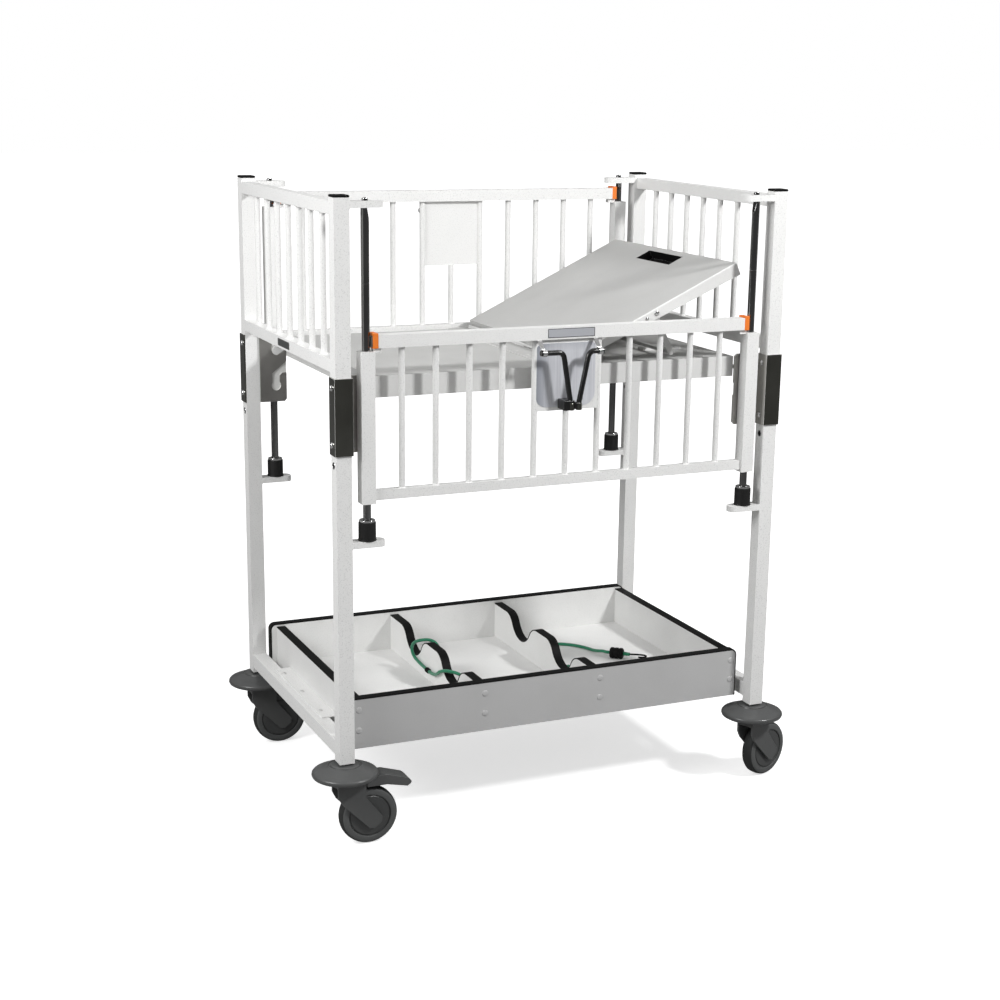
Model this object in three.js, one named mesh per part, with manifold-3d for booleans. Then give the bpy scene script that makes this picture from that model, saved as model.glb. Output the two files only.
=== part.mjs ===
// Pediatric hospital cot: welded end frames on casters, a hooked-on deck with a tilting backrest,
// two drop gates on guide rods, and a storage tray with cradles for gas cylinders.
// Millimetres, +Z up, floor at z = 0, head end towards +X, front towards -Y.
import * as THREE from 'three';
import { mergeVertices } from 'three/addons/utils/BufferGeometryUtils.js';
import Module from 'manifold-3d';

const wasm = await Module();
wasm.setup();

// Fits and faceting
const runningGap = 0.3;
const weldDepth = 1;
const cutMargin = 1;
const mergeDistance = 0.001;
const wheelSides = 20;
const roundSides = 12;
const barSides = 10;

// End frames
const frameLength = 996;
const frameWidth = 660;
const casterHeight = 182;
const postSide = 31.75;
const postWall = 2;
const postHeight = 1131;
const endRailSide = 25.4;
const endRailDrop = 7.4;
const endPanelHeight = 325.6;
const endBarCount = 7;
const barDiameter = 12.7;
const baseRailLift = 12.4;
const capHead = 5;
const capEdge = 1.5;
const capPlug = 15;

// Guide rods, their brackets and the rubber bumpers
const rodDiameter = 15.9;
const rodInset = 51.6;
const spigotDiameter = 12;
const spigotRise = 6;
const bracketReach = 71;
const bracketThick = 12.7;
const bracketClip = 8;
const upperBracketDrop = 7;
const lowerBracketHeight = 462;
const notchDepth = 5.5;
const notchLength = 24;
const bumperDiameter = 35;
const bumperHeight = 38;
const bumperFoot = 1;
const washerDiameter = 32;
const washerHeight = 4;

// Drop gates
const gateRestGap = 33;
const catchDrop = 24.2;
const stileSide = 28.6;
const stileLength = 301;
const gateWall = 2;
const bushHeight = 18;
const gateRailSide = 25.4;
const gateRailEndGap = 7.2;
const gateRailLift = 6.4;
const cornerLugReach = 8;
const cornerLugSink = 9;
const cornerLugDeep = 14;
const lowRailTall = 20;
const lowRailDeep = 19;
const lowRailLift = 6;
const gateBarCount = 11;
const gateBarPitch = 71.4;
const panelTall = 146;
const panelThick = 6;
const boltSide = 20.8;
const boltLength = 72;
const bailDiameter = 9.5;
const bailStandoff = 36;
const bailDrop = 23;
const bailEnds = [-75, 65];
const bailShoulders = [-25, 33];
const bailFeet = [-6, 11];
const bailShoulderRound = 12;
const bailFall = 108;
const bailOverhang = 5;
const earThick = 5;
const earTall = 18;
const earEdge = 2.5;
const gripSpan = [-22, 15];
const gripTall = 21;

// Deck and its hooks
const deckHeight = 966;
const deckEndGap = 22.525;
const deckSideGap = 43;
const deckSkirt = 43;
const sheetThick = 2.5;
const lugThick = 5;
const lugRadius = 10.5;
const lugInset = 0.4;
const pinDiameter = 15.9;
const pinDrop = 29.5;
const pinEndGap = 0.4;
const hookPlate = 3;
const hookHeight = 152.4;
const hookAboveSeat = 32.5;
const hookArmThick = 6;
const hookArmReach = 60;
const hookCorner = 5;
const seatDiameter = 22;
const seatPitch = 83.5;
const slotDepth = 3.2;
const slotNeck = 17.5;
const slotRise = 28;
const mouthRise = 55;
const hookBoltInset = 20;
const hookBoltDiameter = 10;
const hookBoltHead = 3.5;

// Backrest, its hinge and its prop
const hingeOffset = 36;
const knuckleDiameter = 8;
const knuckleCount = 9;
const knuckleGap = 0.5;
const leafWide = 58;
const leafThick = 2;
const backrestLength = 419.4;
const backrestInset = 5.5;
const backrestRise = 15.2;
const backrestHeel = 15.7;
const backrestSkirt = 28;
const backrestTilt = 25.3;
const backrestLow = 1.3;
const pullLength = 154;
const pullWidth = 38;
const pullDepth = 20;
const pullEdge = 17;
const propAlong = 208;
const propRise = 5;
const propLength = 95.7;
const propWidth = 12.4;
const propThick = 5;
const propPinDiameter = 7;
const propSideGap = 9;
const propRestAngle = -88.6;
const propFlatAngle = -1.7;
const footDiameter = 10;
const rackSpread = 300;
const rackWidth = 20;
const rackSteps = 5;
const rackGap = 0.7;
const rackNotchSink = 1.5;

// Storage tray
const boardThick = 19;
const trayEndGap = 48;
const traySideGap = 43;
const trayLift = 12.5;
const trayTall = 107.5;
const trayCorner = 12;
const trayFootReach = 12;
const endBoardInset = 1.5;
const endBoardDrop = 6;
const floorThick = 16;
const footDividerX = -160;
const headDividerX = 110;
const dividerTall = 83.5;
const cradleRadius = 57;
const cradleRise = 8;
const cradleSpread = 224;
const cradleLip = 42;
const angleLength = 340;
const angleFlange = 35.5;
const angleLeg = 30;
const angleThick = 3;

// Casters
const wheelDiameter = 125;
const wheelWidth = 31;
const wheelHub = 88;
const hubInset = 1.5;
const treadRound = 6.5;
const axleDiameter = 12;
const casterTrail = 48;
const headFrontTurn = 20;
const forkGap = 1.5;
const forkArm = 5.5;
const forkBack = 22;
const forkNose = 38;
const legHeel = [-14, 97];
const legWidth = 36;
const legPastAxle = 25;
const legCorner = 8;
const crownFront = 22;
const crownClear = 5;
const forkTop = 147;
const forkWaist = 113;
const swivelGap = 0.4;
const collarRadius = 30;
const discDiameter = 137;
const discRimHeight = 161;
const discRimThick = 7;
const collarTop = 178;
const stemDiameter = 26;
const stemRise = 40;

// Brake pedal
const pedalPinDiameter = 6;
const pedalPinX = 30;
const pedalPinDrop = 8;
const pedalHub = 6.5;
const pedalReach = 137;
const pedalRise = 153;
const pedalBend = 74;
const pedalUnder = 128;
const pedalTip = 127;
const pedalThick = 9;
const pedalSideGap = 0.8;

// Bungee cords
const cordDiameter = 7.5;
const cordSides = 8;
const cordSteps = 32;
const barrelDiameter = 26;
const barrelLength = 32;
const barrelTurn = -40;
const ferruleDiameter = 10;
const ferruleLength = 16;
const hookWire = 4;
const hookLength = 40;
const hookCurl = 12;

// Places worked out from the sizes above
const degrees = Math.PI / 180;
const postX = (frameLength - postSide) / 2;
const postY = (frameWidth - postSide) / 2;
const postHalf = postSide / 2;
const rodX = postX - rodInset;
const rodRadius = rodDiameter / 2;
const lowerBracketTop = casterHeight + lowerBracketHeight;
const upperBracketBottom = casterHeight + postHeight - upperBracketDrop - bracketThick;
const rodLength = upperBracketBottom - lowerBracketTop;
const gateBase = lowerBracketTop + bumperHeight + washerHeight + gateRestGap;
const gateRailHalf = rodX - stileSide / 2 - gateRailEndGap;
const gateRailBottom = stileLength + gateRailLift;
const gateTravel = upperBracketBottom - catchDrop - gateBase - gateRailBottom - gateRailSide / 2;
const boltTip = rodX - rodRadius - 1.5 * runningGap;
const pinReach = rodX;
const deckLength = 2 * (pinReach - deckEndGap);
const deckWidth = frameWidth - 2 * deckSideGap;
const trayLength = frameLength - 2 * trayEndGap;
const trayWidth = frameWidth - 2 * traySideGap;
const backrestWidth = deckWidth - 2 * backrestInset;
const pinHeight = deckHeight - pinDrop;
const seatHeight = pinHeight + (seatDiameter - pinDiameter) / 2 - runningGap;
const hookTop = seatHeight + hookAboveSeat;
const trayBottom = casterHeight + trayLift;
const trayFloorTop = trayBottom + floorThick;
const endBoardOuter = trayLength / 2 - endBoardInset;
const wheelRadius = wheelDiameter / 2;
const wheelFlat = wheelRadius * Math.cos(Math.PI / wheelSides);
const forkInner = wheelWidth / 2 + forkGap;
const forkOuter = forkInner + forkArm;
const frameShift = -(casterTrail + wheelFlat - discDiameter / 2) / 2;

// Finishes
const finish = (color, roughness, metalness) => ({ color, roughness, metalness });
const whiteCoat = finish(0xe9e9e7, 0.45, 0.1);
const greyCoat = finish(0xc9c9c8, 0.5, 0.1);
const polishedSteel = finish(0x6a6a68, 0.2, 1);
const blackRubber = finish(0x141414, 0.8, 0);
const blackPlastic = finish(0x1a1a1a, 0.5, 0);
const glossBlack = finish(0x0c0c0c, 0.25, 0.2);
const orangePlastic = finish(0xe8701a, 0.5, 0);
const greyPlastic = finish(0x565857, 0.55, 0);
const wheelGrey = finish(0x4a4b4b, 0.7, 0);
const trayBoard = finish(0xdcdcda, 0.5, 0);
const greenCord = finish(0x0d7a54, 0.8, 0);

// A closed geometry as a solid for joining and cutting, with its faces turned outwards.
function solid(geometry) {
  const bare = geometry.clone();
  bare.deleteAttribute('normal');
  bare.deleteAttribute('uv');
  const merged = mergeVertices(bare, mergeDistance);
  const points = merged.attributes.position;
  const corners = [new THREE.Vector3(), new THREE.Vector3(), new THREE.Vector3()];
  const triangles = [];
  let volume = 0;
  for (let i = 0; i < merged.index.count; i += 3) {
    const ids = [0, 1, 2].map((k) => merged.index.getX(i + k));
    if (new Set(ids).size < 3) continue;
    triangles.push(ids);
    ids.forEach((id, k) => corners[k].fromBufferAttribute(points, id));
    volume += corners[0].dot(corners[1].cross(corners[2]));
  }
  const order = volume < 0 ? [0, 2, 1] : [0, 1, 2];
  const triVerts = Uint32Array.from(triangles.flatMap((ids) => order.map((k) => ids[k])));
  const vertProperties = Float32Array.from(points.array);
  return new wasm.Manifold(new wasm.Mesh({ numProp: 3, vertProperties, triVerts }));
}

function surface(body) {
  const { vertProperties, triVerts } = body.getMesh();
  const geometry = new THREE.BufferGeometry();
  geometry.setAttribute('position', new THREE.Float32BufferAttribute(vertProperties, 3));
  geometry.setIndex([...triVerts]);
  return geometry;
}

function join(...pieces) {
  return surface(pieces.map(solid).reduce((all, piece) => all.add(piece)));
}

function cut(piece, ...tools) {
  return surface(tools.map(solid).reduce((left, tool) => left.subtract(tool), solid(piece)));
}

// Basic forms
function slab([x0, x1], [y0, y1], [z0, z1]) {
  const geometry = new THREE.BoxGeometry(x1 - x0, y1 - y0, z1 - z0);
  return geometry.translate((x0 + x1) / 2, (y0 + y1) / 2, (z0 + z1) / 2);
}

function roundBar(radius, length, sides = roundSides) {
  const geometry = new THREE.CylinderGeometry(radius, radius, length, sides);
  return geometry.rotateY(Math.PI / sides);
}

// A round bar standing on the given point
function upright(radius, length, [x, y, z], sides = roundSides) {
  return roundBar(radius, length, sides).rotateX(Math.PI / 2).translate(x, y, z + length / 2);
}

// A round bar along Y between two values of y
function crossBar(radius, x, [y0, y1], z, sides = roundSides) {
  return roundBar(radius, y1 - y0, sides).translate(x, (y0 + y1) / 2, z);
}

// A round bar along X between two values of x
function longBar(radius, [x0, x1], y, z, sides = roundSides) {
  return roundBar(radius, x1 - x0, sides).rotateZ(Math.PI / 2).translate((x0 + x1) / 2, y, z);
}

function polygon(points) {
  return new THREE.Shape(points.map(([a, b]) => new THREE.Vector2(a, b)));
}

function circlePath(x, y, radius) {
  return new THREE.Path().absarc(x, y, radius, 0, 2 * Math.PI, true);
}

function extrude(shape, depth, curveSegments = 6) {
  return new THREE.ExtrudeGeometry(shape, { depth, curveSegments, bevelEnabled: false });
}

// A shape drawn in x and z, given its thickness along y from y0 to y1
function uprightPlate(shape, [y0, y1], curveSegments = 6) {
  return extrude(shape, y1 - y0, curveSegments).rotateX(Math.PI / 2).translate(0, y1, 0);
}

// A shape drawn in y and z, given its thickness along x from x0 to x1
function crossPlate(shape, [x0, x1], curveSegments = 6) {
  const plate = extrude(shape, x1 - x0, curveSegments);
  return plate.rotateX(Math.PI / 2).rotateZ(Math.PI / 2).translate(x0, 0, 0);
}

function squareTube(width, depth, wall, length) {
  const outline = ([a, b]) => [[-a, -b], [a, -b], [a, b], [-a, b]];
  const shape = polygon(outline([width / 2, depth / 2]));
  const hollow = outline([width / 2 - wall, depth / 2 - wall]).reverse();
  shape.holes.push(new THREE.Path(hollow.map(([a, b]) => new THREE.Vector2(a, b))));
  return extrude(shape, length);
}

function tubeAlongY(width, height, wall, [y0, y1], x, z) {
  return squareTube(width, height, wall, y1 - y0).rotateX(Math.PI / 2).translate(x, y1, z);
}

function tubeAlongX(depth, height, wall, halfLength, z) {
  const tube = squareTube(height, depth, wall, 2 * halfLength);
  return tube.rotateY(Math.PI / 2).translate(-halfLength, 0, z);
}

// Turned about the z axis from a profile of radius and height
function turned(profile, sides, start = 0) {
  const points = profile.map(([r, h]) => new THREE.Vector2(r, h));
  return new THREE.LatheGeometry(points, sides, start).rotateX(Math.PI / 2);
}

function wire(curve, radius, steps, sides) {
  const corners = Array.from({ length: sides }, (_, k) => {
    const turn = (2 * Math.PI * k) / sides;
    return [radius * Math.cos(turn), radius * Math.sin(turn)];
  });
  return new THREE.ExtrudeGeometry(polygon(corners), { steps, extrudePath: curve, bevelEnabled: false });
}

function mirrored(geometry, sideX, sideY) {
  return surface(solid(geometry.clone().scale(sideX, sideY, 1)));
}

function node(name, geometry, look, parent, [x, y, z] = [0, 0, 0]) {
  geometry.computeVertexNormals();
  const mesh = new THREE.Mesh(geometry, new THREE.MeshStandardMaterial(look));
  mesh.name = name;
  mesh.position.set(x, y, z);
  parent.add(mesh);
  return mesh;
}

function groupAt(parent, [x, y, z]) {
  const group = new THREE.Group();
  group.position.set(x, y, z);
  parent.add(group);
  return group;
}

const cot = new THREE.Group();
cot.position.x = frameShift;

const corners = [
  { name: 'foot_front', sideX: -1, sideY: -1, turn: 0 },
  { name: 'foot_back', sideX: -1, sideY: 1, turn: 0 },
  { name: 'head_front', sideX: 1, sideY: -1, turn: headFrontTurn },
  { name: 'head_back', sideX: 1, sideY: 1, turn: 0 },
];

// Corner posts with the two welded rod brackets; drawn for the head back corner, inwards is -X and -Y
function rodBracket() {
  const tip = -postHalf - bracketReach;
  const root = -postHalf + weldDepth;
  const outline = polygon([
    [root, -postHalf], [root, postHalf], [tip + bracketClip, postHalf], [tip, postHalf - bracketClip],
    [tip, bracketClip - postHalf], [tip + bracketClip, -postHalf],
  ]);
  outline.holes.push(circlePath(-rodInset, 0, spigotDiameter / 2 + runningGap));
  return extrude(outline, bracketThick);
}

function cornerPost() {
  const upper = rodBracket().translate(0, 0, upperBracketBottom - casterHeight);
  const lower = rodBracket().translate(0, 0, lowerBracketHeight - bracketThick);
  return join(squareTube(postSide, postSide, postWall, postHeight), upper, lower);
}

function postCap() {
  const half = postHalf - capEdge;
  const head = polygon([[-half, -half], [half, -half], [half, half], [-half, half]]);
  const bevel = { bevelSize: capEdge, bevelThickness: capEdge, bevelSegments: 1 };
  const dome = new THREE.ExtrudeGeometry(head, { depth: capHead - 2 * capEdge, ...bevel });
  const plugHalf = postHalf - postWall - runningGap;
  const plug = slab([-plugHalf, plugHalf], [-plugHalf, plugHalf], [-capPlug, weldDepth]);
  return join(dome.translate(0, 0, capEdge), plug);
}

// Polished rod on spigots, with the sloping catch flat near its top on the inward side
function guideRod() {
  const spigot = spigotDiameter / 2;
  const top = rodLength + bracketThick + spigotRise;
  const rod = turned([
    [0, -bracketThick], [spigot, -bracketThick], [spigot, 0], [rodRadius, 0], [rodRadius, rodLength],
    [spigot, rodLength], [spigot, top - spigotRise / 2], [spigot * 0.7, top - spigotRise / 8], [0, top],
  ], roundSides);
  const catchFlat = polygon([
    [-rodRadius - cutMargin, rodLength + cutMargin / 2], [-rodRadius + notchDepth, rodLength + cutMargin / 2],
    [-rodRadius + notchDepth, rodLength - cutMargin], [-rodRadius, rodLength - notchLength],
    [-rodRadius - cutMargin, rodLength - notchLength],
  ]);
  const shelf = turned([
    [0, rodLength - 2 * cutMargin], [spigot, rodLength - 2 * cutMargin], [spigot, rodLength + cutMargin],
    [0, rodLength + cutMargin],
  ], roundSides);
  return join(cut(rod, uprightPlate(catchFlat, [-rodDiameter, rodDiameter])), shelf);
}

function rubberBumper() {
  const bore = rodRadius + runningGap;
  const outer = bumperDiameter / 2;
  const washer = washerDiameter / 2;
  const shoulder = outer - washer;
  return turned([
    [bore, 0], [outer + bumperFoot, 0], [outer, 4 * bumperFoot], [outer, bumperHeight - shoulder],
    [washer, bumperHeight], [washer, bumperHeight + washerHeight], [bore, bumperHeight + washerHeight],
    [bore, 0],
  ], roundSides + 4);
}

// Saddle round three faces of the post, with an inward arm whose slots carry the deck pins
function slotShape(seat, open) {
  const half = slotNeck / 2;
  const edge = -postHalf - hookArmReach - cutMargin;
  const slot = new THREE.Shape();
  const start = Math.asin(slotNeck / seatDiameter);
  slot.absarc(-rodInset, seat, seatDiameter / 2, Math.PI / 2 + start, Math.PI / 2 - start, false);
  if (open === 'top') {
    slot.lineTo(half - rodInset, seat + hookAboveSeat + cutMargin);
    slot.lineTo(-half - rodInset, seat + hookAboveSeat + cutMargin);
  } else {
    slot.lineTo(half - rodInset, seat + slotRise);
    slot.lineTo(edge, seat + mouthRise);
    slot.lineTo(edge, seat + slotRise);
    slot.lineTo(-half - rodInset - hookCorner, seat + slotRise);
    slot.lineTo(-half - rodInset, seat + slotRise - hookCorner);
  }
  return slot;
}

function deckHook() {
  const outer = postHalf + hookPlate;
  const armInner = -postHalf - hookArmThick;
  const tip = -postHalf - hookArmReach;
  const full = [0, hookHeight];
  const arm = polygon([
    [-postHalf, 0], [tip + hookCorner, 0], [tip, hookCorner], [tip, hookHeight - hookCorner],
    [tip + hookCorner, hookHeight], [-postHalf, hookHeight],
  ]);
  const saddle = [
    slab([postHalf, outer], [-postHalf, outer], full),
    slab([-outer, outer], [postHalf, outer], full),
    slab([-outer, -postHalf], [armInner, outer], full),
    uprightPlate(arm, [armInner, -postHalf]),
  ];
  const boltHeights = [hookBoltInset, hookHeight - hookBoltInset];
  const bolts = boltHeights.flatMap((z) => [
    longBar(hookBoltDiameter / 2, [-outer - hookBoltHead, -outer + weldDepth], 0, z, 8),
    longBar(hookBoltDiameter / 2, [outer - weldDepth, outer + hookBoltHead], 0, z, 8),
  ]);
  const seat = hookHeight - hookAboveSeat;
  const depth = [armInner - cutMargin, armInner + slotDepth];
  const slots = [
    uprightPlate(slotShape(seat, 'top'), depth),
    uprightPlate(slotShape(seat - seatPitch, 'side'), depth),
  ];
  return cut(join(...saddle, ...bolts), ...slots);
}

// Caster pieces, drawn with the swivel on the z axis, the floor at z = 0 and the wheel trailing to +X
function bumperDisc() {
  const rim = discDiameter / 2;
  const stem = stemDiameter / 2;
  const under = forkTop + swivelGap;
  const step = (collarTop - discRimHeight) / 4;
  return turned([
    [0, under], [collarRadius, under], [rim - discRimThick, discRimHeight - discRimThick],
    [rim, discRimHeight - discRimThick / 3], [rim - discRimThick / 2, discRimHeight + step],
    [(rim + collarRadius) / 2, collarTop - 1.2 * step], [collarRadius + step, collarTop - step / 3],
    [collarRadius, collarTop - step], [collarRadius - step / 2, collarTop], [stem, collarTop],
    [stem, casterHeight + stemRise], [0, casterHeight + stemRise],
  ], wheelSides);
}

function forkSide() {
  const [heelX, heelZ] = legHeel;
  const lean = Math.atan2(heelZ - (wheelFlat - legWidth / 2), casterTrail - heelX - legWidth / 2);
  const along = new THREE.Vector2(Math.cos(lean), -Math.sin(lean));
  const across = new THREE.Vector2(Math.sin(lean), Math.cos(lean));
  const axle = new THREE.Vector2(casterTrail, wheelFlat);
  const at = (a, b) => axle.clone().addScaledVector(along, a).addScaledVector(across, b);
  const half = legWidth / 2;
  const tip = legPastAxle;
  return new THREE.Shape([
    new THREE.Vector2(-forkBack, forkTop), new THREE.Vector2(-forkBack, forkWaist),
    new THREE.Vector2(heelX, heelZ), at(tip - legCorner, -half), at(tip, legCorner - half),
    at(tip, half - legCorner), at(tip - legCorner, half), new THREE.Vector2(forkNose, forkWaist - legCorner),
    new THREE.Vector2(forkNose, forkTop),
  ]);
}

function casterFork(withPedalPin) {
  const crownBottom = wheelFlat + wheelRadius + crownClear;
  const pieces = [
    uprightPlate(forkSide(), [-forkOuter, -forkInner], 5),
    uprightPlate(forkSide(), [forkInner, forkOuter], 5),
    slab([-forkBack, crownFront], [-forkInner - weldDepth, forkInner + weldDepth], [crownBottom, forkTop]),
    crossBar(axleDiameter / 2, casterTrail, [-forkInner - weldDepth, forkInner + weldDepth], wheelFlat),
  ];
  if (withPedalPin) {
    const pinSpan = [-forkInner - weldDepth, forkInner + weldDepth];
    pieces.push(crossBar(pedalPinDiameter / 2, pedalPinX, pinSpan, forkTop - pedalPinDrop, 8));
  }
  return join(...pieces);
}

function wheel() {
  const half = wheelWidth / 2;
  const hub = wheelHub / 2;
  const bore = axleDiameter / 2 + runningGap;
  const hubFace = half - hubInset;
  const groove = 2 * hubInset;
  const face = [
    [bore, hubFace], [hub, hubFace], [hub + hubInset, half - groove], [hub + groove, half],
    [wheelRadius - treadRound, half], [wheelRadius, half - treadRound],
  ];
  const nearFace = face.map(([r, h]) => [r, -h]);
  const profile = [...nearFace, ...face.reverse(), nearFace[0]];
  const points = profile.map(([r, h]) => new THREE.Vector2(r, h));
  return new THREE.LatheGeometry(points, wheelSides, Math.PI / wheelSides);
}

// Foot pedal on a cross pin between the fork sides, passing over the wheel and out to its tip
function brakePedal() {
  const pinZ = forkTop - pedalPinDrop;
  const inner = forkInner - pedalSideGap;
  const heel = pedalPinX - pedalHub;
  const root = polygon([
    [heel, pinZ - pedalHub], [pedalPinX, pedalUnder], [forkNose + pedalHub, pedalUnder],
    [forkNose + pedalHub, forkTop - 4 * swivelGap], [heel, forkTop - 4 * swivelGap],
  ]);
  const tread = polygon([
    [forkNose + 3 * pedalSideGap, pedalUnder], [pedalBend + pedalThick, pedalUnder],
    [pedalReach - pedalThick, pedalTip - pedalThick],
    [pedalReach - pedalThick / 4, pedalTip - pedalThick / 2], [pedalReach, pedalTip],
    [pedalReach - pedalThick / 3, pedalTip + pedalThick / 2], [pedalReach - pedalThick, pedalTip + pedalThick],
    [pedalBend + pedalThick, pedalRise - pedalThick / 3], [pedalBend, pedalRise - pedalThick / 3],
    [forkNose + pedalSideGap, forkTop - swivelGap],
  ]);
  const lever = join(uprightPlate(root, [-inner, inner]), uprightPlate(tread, [-forkOuter, forkOuter]));
  const bore = crossBar(pedalPinDiameter / 2 + runningGap, pedalPinX, [-forkOuter, forkOuter], pinZ, 8);
  return cut(lever, bore);
}

for (const { name, sideX, sideY, turn } of corners) {
  const post = groupAt(cot, [sideX * postX, sideY * postY, 0]);
  const placed = (geometry) => mirrored(geometry, sideX, sideY);
  node(`${name}_post`, placed(cornerPost()), whiteCoat, post, [0, 0, casterHeight]);
  node(`${name}_post_cap`, postCap(), blackPlastic, post, [0, 0, casterHeight + postHeight]);
  node(`${name}_deck_hook`, placed(deckHook()), polishedSteel, post, [0, 0, hookTop - hookHeight]);
  const rod = groupAt(post, [-sideX * rodInset, 0, lowerBracketTop]);
  node(`${name}_guide_rod`, placed(guideRod()), polishedSteel, rod);
  node(`${name}_bumper`, rubberBumper(), blackRubber, rod);
  node(`${name}_caster_disc`, bumperDisc(), greyPlastic, post);
  const swivel = groupAt(post, [0, 0, 0]);
  swivel.rotation.z = turn * degrees;
  const braked = name === 'foot_front';
  node(`${name}_caster_fork`, casterFork(braked), greyPlastic, swivel);
  node(`${name}_wheel`, wheel(), wheelGrey, swivel, [casterTrail, 0, wheelFlat]);
  if (braked) node('brake_pedal', brakePedal(), greyPlastic, swivel);
}

// End panels: two rails between the posts, flush with their outer faces, and upright bars
function endPanel() {
  const reach = frameWidth / 2 - postSide;
  const middle = endRailSide / 2;
  const top = endPanelHeight - middle;
  const span = [-reach, reach];
  const rails = [middle, top].map((z) => tubeAlongY(endRailSide, endRailSide, postWall, span, 0, z));
  const pitch = (2 * reach) / (endBarCount + 1);
  const barLength = endPanelHeight - 2 * endRailSide + 2 * weldDepth;
  const bars = Array.from({ length: endBarCount }, (_, k) => {
    const y = (k + 1) * pitch - reach;
    return upright(barDiameter / 2, barLength, [0, y, endRailSide - weldDepth], barSides);
  });
  return join(...rails, ...bars);
}

const endPanelBase = casterHeight + postHeight - endRailDrop - endPanelHeight;
const endPanelX = (frameLength - endRailSide) / 2;
const baseSpan = [postSide - frameWidth / 2, frameWidth / 2 - postSide];
const baseRailMiddle = casterHeight + baseRailLift + postHalf;
for (const [end, side] of [['foot', -1], ['head', 1]]) {
  node(`${end}_end_panel`, endPanel(), whiteCoat, cot, [side * endPanelX, 0, endPanelBase]);
  const rail = tubeAlongY(postSide, postSide, postWall, baseSpan, side * postX, baseRailMiddle);
  node(`${end}_base_rail`, rail, whiteCoat, cot);
}

// Drop gate, drawn with its outer side towards -Y and z = 0 at the foot of its stiles
function gateStile(side) {
  const bushHalf = stileSide / 2 - gateWall + weldDepth;
  const tube = squareTube(stileSide, stileSide, gateWall, stileLength);
  const bushes = [[0, bushHeight], [stileLength - bushHeight, stileLength]].map((span) => (
    slab([-bushHalf, bushHalf], [-bushHalf, bushHalf], span)
  ));
  const bore = upright(rodRadius + runningGap, stileLength + 2 * cutMargin, [0, 0, -cutMargin]);
  return cut(join(tube, ...bushes), bore).translate(side * rodX, 0, 0);
}

const panelFace = -barDiameter / 2 + weldDepth;

// Gusset under the rail that carries one end of the latch bail
function bailEar(end) {
  const boss = bailDiameter / 2 + earEdge;
  const root = panelFace + weldDepth;
  const tip = -bailStandoff - boss;
  const pivotZ = gateRailBottom - bailDrop;
  const side = polygon([
    [tip, pivotZ + boss], [tip, pivotZ - boss], [root, pivotZ - earTall], [root, gateRailBottom + weldDepth],
  ]);
  side.holes.push(circlePath(-bailStandoff, pivotZ, bailDiameter / 2 + runningGap));
  const outer = bailEnds[end] - Math.sign(bailEnds[end]) * bailOverhang;
  const inner = outer - Math.sign(outer) * earThick;
  return crossPlate(side, [Math.min(outer, inner), Math.max(outer, inner)]);
}

function gate() {
  const stileInner = rodX - stileSide / 2;
  const lowReach = stileInner + weldDepth;
  const lowSpan = [lowRailLift, lowRailLift + lowRailTall];
  const lowRail = slab([-lowReach, lowReach], [-lowRailDeep / 2, lowRailDeep / 2], lowSpan);
  const railMiddle = gateRailBottom + gateRailSide / 2;
  const barBase = lowRailLift + lowRailTall - weldDepth;
  const barTop = gateRailBottom + weldDepth;
  const panelHalf = gateBarPitch;
  const middleBar = (gateBarCount - 1) / 2;
  const bars = Array.from({ length: gateBarCount }, (_, k) => {
    const x = (k - middleBar) * gateBarPitch;
    const top = k === middleBar ? gateRailBottom - panelTall + weldDepth : barTop;
    return upright(barDiameter / 2, top - barBase, [x, 0, barBase], barSides);
  });
  const lug = slab(
    [gateRailHalf - cornerLugReach, lowReach], [-cornerLugDeep / 2, cornerLugDeep / 2],
    [gateRailBottom - cornerLugSink, barTop],
  );
  const panel = slab(
    [-panelHalf, panelHalf], [panelFace, panelFace + panelThick], [gateRailBottom - panelTall, barTop],
  );
  return join(
    gateStile(-1), gateStile(1),
    tubeAlongX(gateRailSide, gateRailSide, gateWall, gateRailHalf, railMiddle),
    lowRail, ...bars, lug, mirrored(lug, -1, 1), panel, bailEar(0), bailEar(1),
  );
}

// Bent-rod bail: two cranked arms that meet in a grip block, pivoting on its top runs
function latchBail() {
  const pivotZ = gateRailBottom - bailDrop;
  const radius = bailDiameter / 2;
  const at = (x, z) => new THREE.Vector3(x, -bailStandoff, z);
  const arms = bailEnds.map((end, k) => {
    const path = new THREE.CurvePath();
    const outer = at(end, pivotZ);
    const corner = at(bailShoulders[k], pivotZ);
    const low = at(bailFeet[k], pivotZ - bailFall);
    const fall = low.clone().sub(corner).normalize();
    const bendStart = at(bailShoulders[k] + Math.sign(end) * bailShoulderRound, pivotZ);
    const bendEnd = corner.clone().addScaledVector(fall, bailShoulderRound);
    path.add(new THREE.LineCurve3(outer, bendStart));
    path.add(new THREE.QuadraticBezierCurve3(bendStart, corner, bendEnd));
    path.add(new THREE.LineCurve3(bendEnd, low));
    return wire(path, radius, 12, 8);
  });
  const gripDepth = [-bailStandoff - radius - weldDepth, panelFace - 3 * runningGap];
  const gripTop = pivotZ - bailFall + gripTall / 2;
  const grip = slab(gripSpan, gripDepth, [gripTop - gripTall, gripTop]);
  return join(...arms, grip);
}

function latchBolt(side) {
  const middle = gateRailBottom + gateRailSide / 2;
  const half = boltSide / 2;
  const bar = slab([boltTip - boltLength, boltTip], [-half, half], [middle - half, middle + half]);
  return side < 0 ? mirrored(bar, -1, 1) : bar;
}

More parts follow.
